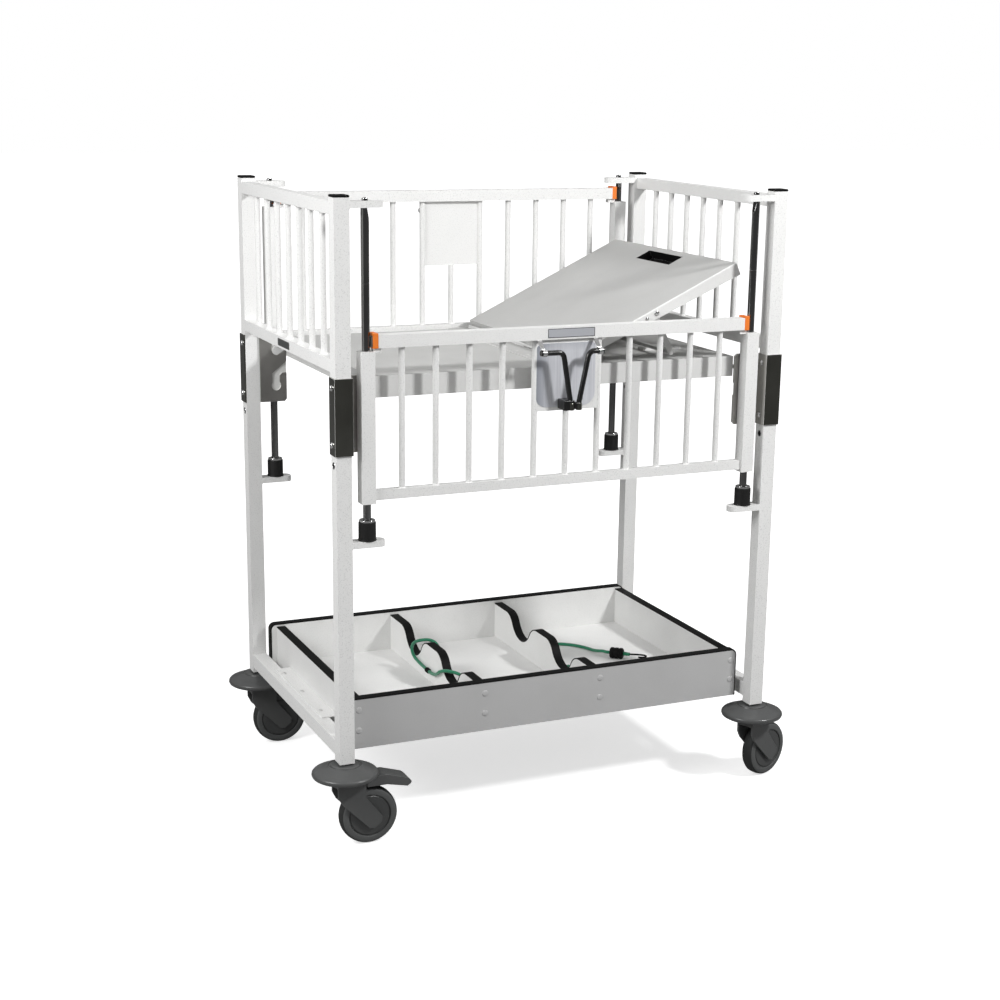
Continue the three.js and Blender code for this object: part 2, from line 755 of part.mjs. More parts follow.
const gates = [
  { name: 'front', y: -postY, z: gateBase, turn: 0, ends: ['foot', 'head'] },
  { name: 'back', y: postY, z: gateBase + gateTravel, turn: Math.PI, ends: ['head', 'foot'] },
];
for (const { name, y, z, turn, ends } of gates) {
  const group = groupAt(cot, [0, y, z]);
  group.rotation.z = turn;
  node(`${name}_gate`, gate(), whiteCoat, group);
  node(`${name}_latch_bail`, latchBail(), glossBlack, group);
  node(`${name}_${ends[0]}_latch_bolt`, latchBolt(-1), orangePlastic, group);
  node(`${name}_${ends[1]}_latch_bolt`, latchBolt(1), orangePlastic, group);
}

// Piano hinge knuckles along Y on the hinge axis; the deck holds the even ones and the backrest the odd ones
const knuckleRadius = knuckleDiameter / 2;
const hingeLift = knuckleRadius + knuckleGap;
const hingeLeaf = knuckleRadius + 2 * runningGap;

function knuckles(parity, web) {
  const pitch = backrestWidth / knuckleCount;
  const held = Array.from({ length: knuckleCount }, (_, k) => k).filter((k) => k % 2 === parity);
  return held.flatMap((k) => {
    const start = k * pitch - backrestWidth / 2;
    const span = [start + knuckleGap / 2, start + pitch - knuckleGap / 2];
    return [crossBar(knuckleRadius, 0, span, 0, 8), slab(web.x, span, web.z)];
  });
}

// Place of the prop's foot bar from the hinge when the backrest stands at an angle
function propFoot(angle) {
  const share = (angle - backrestLow) / (backrestTilt - backrestLow);
  const fold = propFlatAngle + (propRestAngle - propFlatAngle) * share;
  const swing = (angle + fold) * degrees;
  const lift = angle * degrees;
  const x = propAlong * Math.cos(lift) - propRise * Math.sin(lift) + propLength * Math.cos(swing);
  const z = propAlong * Math.sin(lift) + propRise * Math.cos(lift) + propLength * Math.sin(swing);
  return [x, z];
}

// Notched rack on the deck that follows the path of the foot bar
function propRack(y) {
  const under = footDiameter / 2 + rackGap;
  const pitch = (backrestTilt - backrestLow) / rackSteps;
  const stops = Array.from({ length: rackSteps + 1 }, (_, k) => propFoot(backrestTilt - pitch * k));
  const crest = stops.map(([x], k) => {
    const [, z] = stops[Math.min(k, rackSteps - 1)];
    return [x, Math.max(z - under, rackGap / 2 - hingeLift)];
  });
  const base = -hingeLift - weldDepth;
  const first = crest[0][0] - footDiameter;
  const last = crest[rackSteps][0] + footDiameter;
  const outline = polygon([
    [first, base], [last, base], [last, crest[rackSteps][1]],
    ...crest.slice().reverse(), [first, crest[0][1]],
  ]);
  const span = [y - rackWidth / 2, y + rackWidth / 2];
  const notches = [stops[0], stops[1]].map(([x, z]) => (
    crossBar(footDiameter / 2 + rackGap, x, [span[0] - cutMargin, span[1] + cutMargin], z - rackNotchSink, 8)
  ));
  return cut(uprightPlate(outline, span), ...notches);
}

// Lug at a deck corner with the pin that sits in the hook, drawn for the head back corner
function deckLug() {
  const half = deckWidth / 2;
  const pinOut = frameWidth / 2 - postSide - hookArmThick + slotDepth - pinEndGap;
  const outline = new THREE.Shape();
  outline.moveTo(deckLength / 2 - lugRadius, -pinDrop - lugRadius);
  outline.absarc(pinReach, -pinDrop, lugRadius, -Math.PI / 2, Math.PI / 2, false);
  outline.lineTo(deckLength / 2 - lugRadius, lugRadius - pinDrop);
  const plate = uprightPlate(outline, [half - lugThick - lugInset, half - lugInset]);
  const pin = crossBar(pinDiameter / 2, pinReach, [half - lugThick / 2, pinOut], -pinDrop);
  return join(plate, pin);
}

// Deck pan with its top at z = 0: flat sheet with folded skirts; the hinge leaf crosses its full width
function deckPan() {
  const end = deckLength / 2;
  const half = deckWidth / 2;
  const block = slab([-end, end], [-half, half], [-deckSkirt, 0]);
  const under = slab(
    [sheetThick - end, end - sheetThick], [sheetThick - half, half - sheetThick],
    [-deckSkirt - cutMargin, -sheetThick],
  );
  const lug = deckLug();
  const lugs = corners.map(({ sideX, sideY }) => mirrored(lug, sideX, sideY));
  const sink = -hingeLift - weldDepth;
  const leaf = slab([-leafWide, -hingeLeaf], [-half, half], [sink, leafThick - hingeLift]);
  const racks = [-rackSpread / 2, rackSpread / 2].map(propRack);
  const webs = knuckles(0, { x: [-hingeLeaf - weldDepth, 0], z: [sink, -knuckleGap] });
  const fittings = join(leaf, ...racks, ...webs).translate(hingeOffset, 0, hingeLift);
  return join(cut(block, under), ...lugs, fittings);
}

// Backrest panel lying flat with its hinge at x = 0: folded sheet on tapered skirts, with a sunk hand pull
function backrestPanel() {
  const half = backrestWidth / 2;
  const top = backrestRise;
  const end = backrestLength;
  const pullHead = end - pullEdge;
  const pullFoot = pullHead - pullWidth;
  const pullHalf = pullLength / 2;
  const cupHalf = pullHalf + sheetThick;
  const side = polygon([
    [hingeLeaf, top - backrestHeel], [end, top - backrestSkirt], [end, top], [hingeLeaf, top],
  ]);
  const under = slab(
    [hingeLeaf + sheetThick, end - sheetThick], [sheetThick - half, half - sheetThick],
    [top - backrestSkirt - cutMargin, top - sheetThick],
  );
  const cup = slab(
    [pullFoot - sheetThick, pullHead + sheetThick], [-cupHalf, cupHalf],
    [top - pullDepth - sheetThick, top - sheetThick / 2],
  );
  const pinInner = half - sheetThick - propSideGap - propThick;
  const pins = [[-half + weldDepth, -pinInner], [pinInner, half - weldDepth]].map((span) => (
    crossBar(propPinDiameter / 2, propAlong, span, propRise, 8)
  ));
  const webs = knuckles(1, { x: [0, hingeLeaf + weldDepth], z: [knuckleGap, knuckleRadius] });
  const pull = slab([pullFoot, pullHead], [-pullHalf, pullHalf], [top - pullDepth, top + cutMargin]);
  return cut(join(cut(uprightPlate(side, [-half, half]), under), cup, ...pins, ...webs), pull);
}

// U-shaped prop: two flat arms on the backrest pins and a round foot bar
function backrestProp() {
  const outer = backrestWidth / 2 - sheetThick - propSideGap;
  const radius = propWidth / 2;
  const arm = new THREE.Shape();
  arm.absarc(0, 0, radius, Math.PI / 2, Math.PI * 1.5, false);
  arm.absarc(propLength, 0, radius, Math.PI * 1.5, Math.PI * 2.5, false);
  arm.holes.push(circlePath(0, 0, propPinDiameter / 2 + runningGap));
  const spans = [[-outer, propThick - outer], [outer - propThick, outer]];
  const arms = spans.map((span) => uprightPlate(arm, span));
  const bar = crossBar(footDiameter / 2, propLength, [weldDepth - outer, outer - weldDepth], 0, 8);
  return join(...arms, bar);
}

node('deck_pan', deckPan(), greyCoat, cot, [0, 0, deckHeight]);
const backrest = groupAt(cot, [hingeOffset, 0, deckHeight + hingeLift]);
backrest.rotation.y = -backrestTilt * degrees;
node('backrest_panel', backrestPanel(), greyCoat, backrest);
const prop = groupAt(backrest, [propAlong, 0, propRise]);
prop.rotation.y = -propRestAngle * degrees;
node('backrest_prop', backrestProp(), greyCoat, prop);

// Storage tray: long boards with rounded top corners, end boards and floor between them
function longBoard() {
  const half = trayLength / 2;
  const side = new THREE.Shape();
  const foot = half + trayFootReach;
  side.moveTo(-foot, 0);
  side.lineTo(half, 0);
  side.absarc(half - trayCorner, trayTall - trayCorner, trayCorner, 0, Math.PI / 2, false);
  side.absarc(trayCorner - foot, trayTall - trayCorner, trayCorner, Math.PI / 2, Math.PI, false);
  return uprightPlate(side, [0, boardThick], 4);
}

const trayInner = trayWidth / 2 - boardThick;
node('tray_front_board', longBoard(), trayBoard, cot, [0, -trayWidth / 2, trayBottom]);
node('tray_back_board', longBoard(), trayBoard, cot, [0, trayInner, trayBottom]);
const endBoard = slab([0, boardThick], [-trayInner, trayInner], [0, trayTall - endBoardDrop]);
node('tray_foot_board', endBoard, trayBoard, cot, [-endBoardOuter, 0, trayBottom]);
node('tray_head_board', endBoard.clone(), trayBoard, cot, [endBoardOuter - boardThick, 0, trayBottom]);
const floorHalf = endBoardOuter - boardThick;
const floorBoard = slab([-floorHalf, floorHalf], [-trayInner, trayInner], [0, floorThick]);
node('tray_floor', floorBoard, trayBoard, cot, [0, 0, trayBottom]);

// Divider with two round cradles and softened lips, drawn in y and z
function divider() {
  const lipDrop = cradleLip + cradleRise;
  const lipReach = Math.sqrt((cradleRadius + cradleLip) ** 2 - lipDrop ** 2);
  const lean = Math.atan2(lipDrop, lipReach);
  const outline = new THREE.Shape();
  outline.moveTo(-trayInner, 0);
  outline.lineTo(trayInner, 0);
  outline.lineTo(trayInner, dividerTall);
  for (const middle of [cradleSpread / 2, -cradleSpread / 2]) {
    const lipZ = dividerTall - cradleLip;
    outline.absarc(middle + lipReach, lipZ, cradleLip, Math.PI / 2, Math.PI - lean, false);
    outline.absarc(middle, dividerTall + cradleRise, cradleRadius, -lean, lean - Math.PI, true);
    outline.absarc(middle - lipReach, lipZ, cradleLip, lean, Math.PI / 2, false);
  }
  outline.lineTo(-trayInner, dividerTall);
  return crossPlate(outline, [-boardThick / 2, boardThick / 2], 7);
}

node('foot_divider', divider(), trayBoard, cot, [footDividerX, 0, trayFloorTop]);
node('head_divider', divider(), trayBoard, cot, [headDividerX, 0, trayFloorTop]);

// Angles that hang the tray on the base rails
function trayAngle(side) {
  const railTop = casterHeight + baseRailLift + postSide;
  const span = [-angleLength / 2, angleLength / 2];
  const top = railTop + angleThick;
  const flange = slab([endBoardOuter, endBoardOuter + angleFlange], span, [railTop, top]);
  const leg = slab([endBoardOuter, endBoardOuter + angleThick], span, [top - angleLeg, top]);
  return mirrored(join(flange, leg), side, 1);
}

node('foot_tray_angle', trayAngle(-1), whiteCoat, cot);
node('head_tray_angle', trayAngle(1), whiteCoat, cot);

// Bungee cords; points in x from the divider's middle, y, and z above the tray floor
const cordRadius = cordDiameter / 2;
const faceOut = boardThick / 2 + cordRadius + 3 * runningGap;
const footCordRoute = [
  [-faceOut, 16, 26.5], [-faceOut, 54, 28], [-17, 86.5, 35], [-19.4, 98.6, 53.5], [-16.6, 84, 72.4],
  [-3, 63, 82], [6.6, 55.5, 82.8], [15, 46.5, 79.6], [19.6, 35, 72.4], [17.4, 0, 54.5], [15, -28, 42],
  [faceOut + 0.6, -52, 29], [22.4, -90, 11.4], [30.6, -111.5, 25.6], [19.6, -105.4, 46.6],
  [-0.6, -89, 53.4], [-9.6, -80.4, 53.4], [-15.8, -68, 48.6], [-16.2, -52, 39], [-faceOut, -18, 27.4],
  [-faceOut, 5, 26.5],
];
const cordLie = cordRadius + 2 * runningGap;
const barrelLie = barrelDiameter / 2 + runningGap;
const headCordRoute = [
  [faceOut, -100, 34], [faceOut, -66, 21.5], [faceOut, -30, 11.5], [faceOut, 10, 6], [17, 60, cordLie],
  [27, 105, cordLie], [47, 135, cordLie], [75, 147, cordLie], [122, 129, cordLie], [153, 86, cordLie],
  [162, 42, 9.6], [166, 27.5, 12.9], [170.9, 16.6, barrelLie], [177, 11.5, barrelLie],
];

function cord(route) {
  const path = new THREE.CatmullRomCurve3(route.map(([x, y, z]) => new THREE.Vector3(x, y, z)));
  return wire(path, cordRadius, cordSteps, cordSides);
}

node('foot_bungee_cord', cord(footCordRoute), greenCord, cot, [footDividerX, 0, trayFloorTop]);
node('head_bungee_cord', cord(headCordRoute), greenCord, cot, [headDividerX, 0, trayFloorTop]);

// Barrel, ferrule and wire hook on the loose end, lying along +X from the end of the cord
function bungeeHook() {
  const barrel = longBar(barrelDiameter / 2, [2 * runningGap, barrelLength], 0, 0);
  const ferruleSpan = [barrelLength - weldDepth, barrelLength + ferruleLength];
  const ferrule = longBar(ferruleDiameter / 2, ferruleSpan, 0, 0, 8);
  const from = barrelLength + ferruleLength - weldDepth;
  const hook = new THREE.CatmullRomCurve3([
    new THREE.Vector3(from, 0, 0), new THREE.Vector3(from + hookLength / 2, hookCurl / 3, 0),
    new THREE.Vector3(from + hookLength, 0, 0), new THREE.Vector3(from + hookLength, -hookCurl, 0),
    new THREE.Vector3(from + hookLength * 0.7, -hookCurl * 1.3, 0),
  ]);
  return join(barrel, ferrule, wire(hook, hookWire / 2, 12, 6));
}

const cordEnd = headCordRoute[headCordRoute.length - 1];
const hookPlace = [headDividerX + cordEnd[0], cordEnd[1], trayFloorTop + cordEnd[2]];
const bungee = node('bungee_hook', bungeeHook(), blackPlastic, cot, hookPlace);
bungee.rotation.z = barrelTurn * degrees;

export default cot;
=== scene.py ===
import math
import bmesh
import bpy
from mathutils import Matrix, Vector


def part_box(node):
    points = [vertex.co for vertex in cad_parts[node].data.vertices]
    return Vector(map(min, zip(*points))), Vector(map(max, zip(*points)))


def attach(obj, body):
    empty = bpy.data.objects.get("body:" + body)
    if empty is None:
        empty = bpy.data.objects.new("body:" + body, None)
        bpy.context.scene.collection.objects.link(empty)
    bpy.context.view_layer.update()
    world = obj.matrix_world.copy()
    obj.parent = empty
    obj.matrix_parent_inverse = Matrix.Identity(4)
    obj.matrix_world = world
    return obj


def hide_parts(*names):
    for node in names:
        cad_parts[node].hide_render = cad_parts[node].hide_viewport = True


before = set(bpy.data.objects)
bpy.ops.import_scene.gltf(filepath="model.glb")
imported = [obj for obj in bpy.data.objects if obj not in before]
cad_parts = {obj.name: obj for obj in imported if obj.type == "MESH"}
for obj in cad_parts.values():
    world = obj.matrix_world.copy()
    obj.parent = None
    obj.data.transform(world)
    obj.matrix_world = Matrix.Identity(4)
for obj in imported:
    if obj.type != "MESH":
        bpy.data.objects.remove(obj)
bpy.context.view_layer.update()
mm = 0.001
fullTurn = 2 * math.pi
standUp = Matrix.Rotation(math.pi / 2, 4, "X")
midX = (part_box("foot_front_post")[0].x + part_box("head_front_post")[1].x) / 2
postY = (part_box("head_back_post")[0].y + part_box("head_back_post")[1].y) / 2 / mm
postX = 482.125
corners = {"foot_front": (-1, -1), "foot_back": (-1, 1), "head_front": (1, -1), "head_back": (1, 1)}
print("frame loaded")


def inMm(x, y, z):
    return Vector((x, y, z)) * mm


# A place in millimetres from the middle of the posts
def spot(x, y, z):
    return Vector((midX + x * mm, y * mm, z * mm))


# Shape helpers: each adds one shape to a bmesh and returns its vertices

def newVerts(bm, before):
    return [v for v in bm.verts if v not in before]


def facesOf(verts):
    return list({f for v in verts for f in v.link_faces})


def vertsIn(geom):
    return [v for v in geom if isinstance(v, bmesh.types.BMVert)]


def softEdges(bm, edges, width, segments):
    bmesh.ops.bevel(bm, geom=edges, offset=width * mm, offset_type="OFFSET", segments=segments,
                    profile=0.5, affect="EDGES", clamp_overlap=True, material=-1)


def addBox(bm, low, high, edge=0.8, segments=2):
    before = set(bm.verts)
    made = bmesh.ops.create_cube(bm, size=1)["verts"]
    low, high = Vector(low), Vector(high)
    bmesh.ops.scale(bm, vec=high - low, verts=made)
    bmesh.ops.translate(bm, vec=(low + high) / 2, verts=made)
    edges = list({e for v in made for e in v.link_edges})
    softEdges(bm, edges, edge, segments)
    return newVerts(bm, before)


def addRod(bm, start, end, radius, sides=24, rim=0):
    before = set(bm.verts)
    start, end = Vector(start), Vector(end)
    turn = Vector((0, 0, 1)).rotation_difference(end - start).to_matrix().to_4x4()
    made = bmesh.ops.create_cone(bm, cap_ends=True, segments=sides, radius1=radius * mm, radius2=radius * mm,
                                 depth=(end - start).length,
                                 matrix=Matrix.Translation((start + end) / 2) @ turn)["verts"]
    if rim:
        caps = {f for v in made for f in v.link_faces if len(f.verts) == sides}
        edges = list({e for f in caps for e in f.edges})
        softEdges(bm, edges, rim, 3)
    return newVerts(bm, before)


def addTurned(bm, profile, sides, place):
    before = set(bm.verts)
    line = [bm.verts.new((r * mm, 0, h * mm)) for r, h in profile]
    edges = [bm.edges.new(pair) for pair in zip(line, line[1:])]
    bmesh.ops.spin(bm, geom=line + edges, cent=(0, 0, 0), axis=(0, 0, 1), angle=fullTurn, steps=sides,
                   use_merge=True)
    bmesh.ops.remove_doubles(bm, verts=newVerts(bm, before), dist=1e-6)
    made = newVerts(bm, before)
    bmesh.ops.recalc_face_normals(bm, faces=facesOf(made))
    bmesh.ops.transform(bm, matrix=place, verts=made)
    return made


def addPlate(bm, outline, thick, place, edge=0.6):
    before = set(bm.verts)
    face = bm.faces.new([bm.verts.new((x * mm, y * mm, 0)) for x, y in outline])
    grown = bmesh.ops.extrude_face_region(bm, geom=[face])["geom"]
    bmesh.ops.translate(bm, vec=(0, 0, thick * mm), verts=vertsIn(grown))
    made = newVerts(bm, before)
    faces = facesOf(made)
    bmesh.ops.recalc_face_normals(bm, faces=faces)
    edges = [e for e in {e for f in faces for e in f.edges} if e.calc_face_angle(0) > math.radians(40)]
    if edge:
        softEdges(bm, edges, edge, 2)
    made = newVerts(bm, before)
    bmesh.ops.transform(bm, matrix=place, verts=made)
    return made


# A ring of vertices carried along a path, each ring extruded from the last and turned with the path
def carryRing(bm, ring, path):
    last = len(path) - 1
    tangents = [(path[min(i + 1, last)] - path[max(i - 1, 0)]).normalized() for i in range(last + 1)]
    rings = [ring]
    for i in range(1, len(path)):
        edges = list({e for v in ring for e in v.link_edges if all(w in ring for w in e.verts)})
        grown = bmesh.ops.extrude_edge_only(bm, edges=edges)["geom"]
        made = set(vertsIn(grown))
        ring = [next(e.other_vert(v) for e in v.link_edges if e.other_vert(v) in made) for v in ring]
        step = tangents[i - 1].rotation_difference(tangents[i]).to_matrix().to_4x4()
        move = Matrix.Translation(path[i]) @ step @ Matrix.Translation(-path[i - 1])
        bmesh.ops.transform(bm, matrix=move, verts=ring)
        rings.append(ring)
    for loop in (rings[0], rings[-1]):
        bmesh.ops.contextual_create(bm, geom=loop)
    bmesh.ops.recalc_face_normals(bm, faces=list({f for loop in rings for v in loop for f in v.link_faces}))
    return rings


def addSweep(bm, path, radius, sides):
    path = [Vector(p) for p in path]
    turn = Vector((0, 0, 1)).rotation_difference((path[1] - path[0]).normalized()).to_matrix().to_4x4()
    ring = bmesh.ops.create_circle(bm, cap_ends=False, segments=sides, radius=radius * mm,
                                   matrix=Matrix.Translation(path[0]) @ turn)["verts"]
    return carryRing(bm, ring, path)


def facing(place, out):
    return Matrix.Translation(place) @ Vector((0, 0, 1)).rotation_difference(Vector(out)).to_matrix().to_4x4()


def domeProfile(radius, height):
    return [(0, height), (radius * 0.45, height * 0.96), (radius * 0.75, height * 0.8),
            (radius * 0.94, height * 0.45), (radius, 0), (radius, -0.6), (0, -0.6)]


def slotProfile(radius, height):
    return [(0, height * 0.4), (radius * 0.34, height * 0.4), (radius * 0.38, height),
            (radius * 0.7, height * 0.92), (radius * 0.94, height * 0.5), (radius, 0), (radius, -0.6),
            (0, -0.6)]


# A strip laid along a line of points, rounded on its outer side
def addStrip(bm, points, wide, thick, across):
    out = (points[1] - points[0]).normalized().cross(across).normalized()
    section = ((-1, -0.5), (1, -0.5), (1, 0.5), (0.94, 0.85), (0.8, 1), (-0.8, 1), (-0.94, 0.85), (-1, 0.5))
    ring = [bm.verts.new(points[0] + across * s * wide / 2 * mm + out * t * thick * mm) for s, t in section]
    for pair in zip(ring, ring[1:] + ring[:1]):
        bm.edges.new(pair)
    carryRing(bm, ring, points)


def bevelSharp(bm, width, segments=2, angle=50):
    edges = [e for e in bm.edges if len(e.link_faces) == 2 and e.calc_face_angle(0) > math.radians(angle)]
    softEdges(bm, edges, width, segments)


# Give the rounded edges of a squared piece a finish of their own, a paler one painted as edge highlight
def markEdges(bm, index, turn=Matrix.Identity(3)):
    for face in bm.faces:
        if max(abs(c) for c in turn @ face.normal) < 0.985:
            face.material_index = index


# A copy of a frame node with its loose triangles merged into whole faces
def copyOf(node):
    bm = bmesh.new()
    bm.from_mesh(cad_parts[node].data)
    bmesh.ops.remove_doubles(bm, verts=bm.verts, dist=2e-5)
    bmesh.ops.dissolve_limit(bm, angle_limit=math.radians(1.5), verts=bm.verts, edges=bm.edges)
    return bm


def finishPiece(name, bm, body, finish, replaced=(), smooth=40):
    for face in bm.faces:
        face.smooth = True
    for edge in bm.edges:
        edge.smooth = not (len(edge.link_faces) == 2 and edge.calc_face_angle(0) > math.radians(smooth))
    mesh = bpy.data.meshes.new(name)
    bm.to_mesh(mesh)
    bm.free()
    piece = bpy.data.objects.new(name, mesh)
    bpy.context.scene.collection.objects.link(piece)
    for material in finish if isinstance(finish, (list, tuple)) else [finish]:
        mesh.materials.append(material)
    even = piece.modifiers.new("evenShade", "WEIGHTED_NORMAL")
    even.keep_sharp = True
    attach(piece, body)
    if replaced:
        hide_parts(*replaced)
    return piece


# A frame node shown as it is, with softened edges
def softCopy(name, node, body, finish, width, segments=3, angle=50):
    bm = copyOf(node)
    bevelSharp(bm, width, segments, angle)
    finishPiece(name, bm, body, finish, [node])


# Shader groups shared by the finishes

def newGroup(name, inputs, outputs):
    group = bpy.data.node_groups.new(name, "ShaderNodeTree")
    for label, kind, value in inputs:
        socket = group.interface.new_socket(label, in_out="INPUT", socket_type=kind)
        socket.default_value = value
    for label, kind in outputs:
        group.interface.new_socket(label, in_out="OUTPUT", socket_type=kind)
    start = group.nodes.new("NodeGroupInput")
    end = group.nodes.new("NodeGroupOutput")
    return group, start, end


def addNode(tree, kind, settings=None, **links):
    node = tree.nodes.new(kind)
    for key, value in (settings or {}).items():
        setattr(node, key, value)
    for socket, source in links.items():
        numbered = socket[0] == "i" and socket[1:].isdigit()
        target = node.inputs[int(socket[1:]) if numbered else socket]
        if isinstance(source, bpy.types.NodeSocket):
            tree.links.new(source, target)
        else:
            target.default_value = source
    return node


def maths(tree, operation, a, b=0.5):
    return addNode(tree, "ShaderNodeMath", {"operation": operation}, i0=a, i1=b).outputs[0]


def mixColour(tree, factor, a, b):
    node = addNode(tree, "ShaderNodeMix", {"data_type": "RGBA"})
    for target, source in ((node.inputs[0], factor), (node.inputs[6], a), (node.inputs[7], b)):
        if isinstance(source, bpy.types.NodeSocket):
            tree.links.new(source, target)
        else:
            target.default_value = source
    return node.outputs[2]


def band(tree, source, low, high, outLow=0.0, outHigh=1.0):
    return addNode(tree, "ShaderNodeMapRange", None, i0=source, i1=low, i2=high, i3=outLow,
                   i4=outHigh).outputs[0]


# Fine specks with slow drift in tone and roughness, for coats, plastics and boards
def makeSpeckGroup():
    group, start, end = newGroup("fineSpecks", [
        ("Tone", "NodeSocketColor", (0.8, 0.8, 0.8, 1)), ("Specks", "NodeSocketColor", (0.4, 0.4, 0.4, 1)),
        ("Speck Scale", "NodeSocketFloat", 500.0), ("Speck Share", "NodeSocketFloat", 0.3),
        ("Drift", "NodeSocketFloat", 0.05), ("Roughness", "NodeSocketFloat", 0.45),
    ], [("Color", "NodeSocketColor"), ("Roughness", "NodeSocketFloat"), ("Height", "NodeSocketFloat")])
    where = group.nodes.new("ShaderNodeTexCoord").outputs["Object"]
    fine = addNode(group, "ShaderNodeTexNoise", None, Vector=where, Scale=start.outputs["Speck Scale"],
                   Detail=2.0)
    slow = addNode(group, "ShaderNodeTexNoise", None, Vector=where, Scale=7.0, Detail=4.0)
    dots = band(group, fine.outputs[0], 0.585, 0.68)
    share = maths(group, "MULTIPLY", dots, start.outputs["Speck Share"])
    dotted = mixColour(group, share, start.outputs["Tone"], start.outputs["Specks"])
    drift = maths(group, "MULTIPLY", band(group, slow.outputs[0], 0.35, 0.7), start.outputs["Drift"])
    shaded = mixColour(group, drift, dotted, (0.12, 0.12, 0.11, 1))
    group.links.new(shaded, end.inputs["Color"])
    rough = maths(group, "ADD", start.outputs["Roughness"], maths(group, "MULTIPLY", drift, 1.2))
    group.links.new(rough, end.inputs["Roughness"])
    group.links.new(fine.outputs[0], end.inputs["Height"])
    return group


# Long fine scratches along one axis, for polished and brushed steel
def makeStreakGroup():
    group, start, end = newGroup("steelStreaks", [
        ("Stretch", "NodeSocketVector", (400.0, 400.0, 8.0)), ("Low", "NodeSocketFloat", 0.12),
        ("High", "NodeSocketFloat", 0.3),
    ], [("Roughness", "NodeSocketFloat"), ("Height", "NodeSocketFloat"), ("Shade", "NodeSocketFloat")])
    where = group.nodes.new("ShaderNodeTexCoord").outputs["Object"]
    long = addNode(group, "ShaderNodeVectorMath", {"operation": "MULTIPLY"}, i0=where,
                   i1=start.outputs["Stretch"])
    lines = addNode(group, "ShaderNodeTexNoise", None, Vector=long.outputs[0], Scale=1.0, Detail=3.0)
    smear = addNode(group, "ShaderNodeTexNoise", None, Vector=where, Scale=12.0, Detail=3.0)
    mixed = maths(group, "ADD", maths(group, "MULTIPLY", lines.outputs[0], 0.6),
                  maths(group, "MULTIPLY", smear.outputs[0], 0.4))
    ranged = addNode(group, "ShaderNodeMapRange", None, i0=mixed, i1=0.3, i2=0.7, i3=start.outputs["Low"],
                     i4=start.outputs["High"])
    group.links.new(ranged.outputs[0], end.inputs["Roughness"])
    group.links.new(lines.outputs[0], end.inputs["Height"])
    group.links.new(smear.outputs[0], end.inputs["Shade"])
    return group


speckGroup = makeSpeckGroup()
streakGroup = makeStreakGroup()


def newMaterial(name, **plain):
    material = bpy.data.materials.new(name)
    material.use_nodes = True
    shader = material.node_tree.nodes["Principled BSDF"]
    for label, value in plain.items():
        shader.inputs[label.replace("_", " ")].default_value = value
    return material, material.node_tree, shader


def setGroup(tree, group, values):
    node = addNode(tree, "ShaderNodeGroup", {"node_tree": group})
    for label, value in values.items():
        node.inputs[label].default_value = value
    return node


def bumpFrom(tree, shader, height, strength, distance):
    bump = addNode(tree, "ShaderNodeBump", None, Strength=strength, Distance=distance, Height=height)
    tree.links.new(bump.outputs[0], shader.inputs["Normal"])


# A speckled or plain moulded finish
def coatMaterial(name, look):
    material, tree, shader = newMaterial(name, Metallic=0.0)
    grain = setGroup(tree, speckGroup, {
        "Tone": (*look["tone"], 1), "Specks": (*look["specks"], 1), "Speck Scale": look["scale"],
        "Speck Share": look["share"], "Drift": look["drift"], "Roughness": look["rough"],
    })
    tree.links.new(grain.outputs["Color"], shader.inputs["Base Color"])
    tree.links.new(grain.outputs["Roughness"], shader.inputs["Roughness"])
    bumpFrom(tree, shader, grain.outputs["Height"], look["bump"], 0.0004)
    return material


def steelMaterial(name, look):
    material, tree, shader = newMaterial(name, Metallic=1.0)
    streaks = setGroup(tree, streakGroup,
                       {"Stretch": look["stretch"], "Low": look["low"], "High": look["high"]})
    tone = mixColour(tree, streaks.outputs["Shade"], (*look["dark"], 1), (*look["light"], 1))
    tree.links.new(tone, shader.inputs["Base Color"])
    tree.links.new(streaks.outputs["Roughness"], shader.inputs["Roughness"])
    bumpFrom(tree, shader, streaks.outputs["Height"], 0.05, 0.0003)
    return material


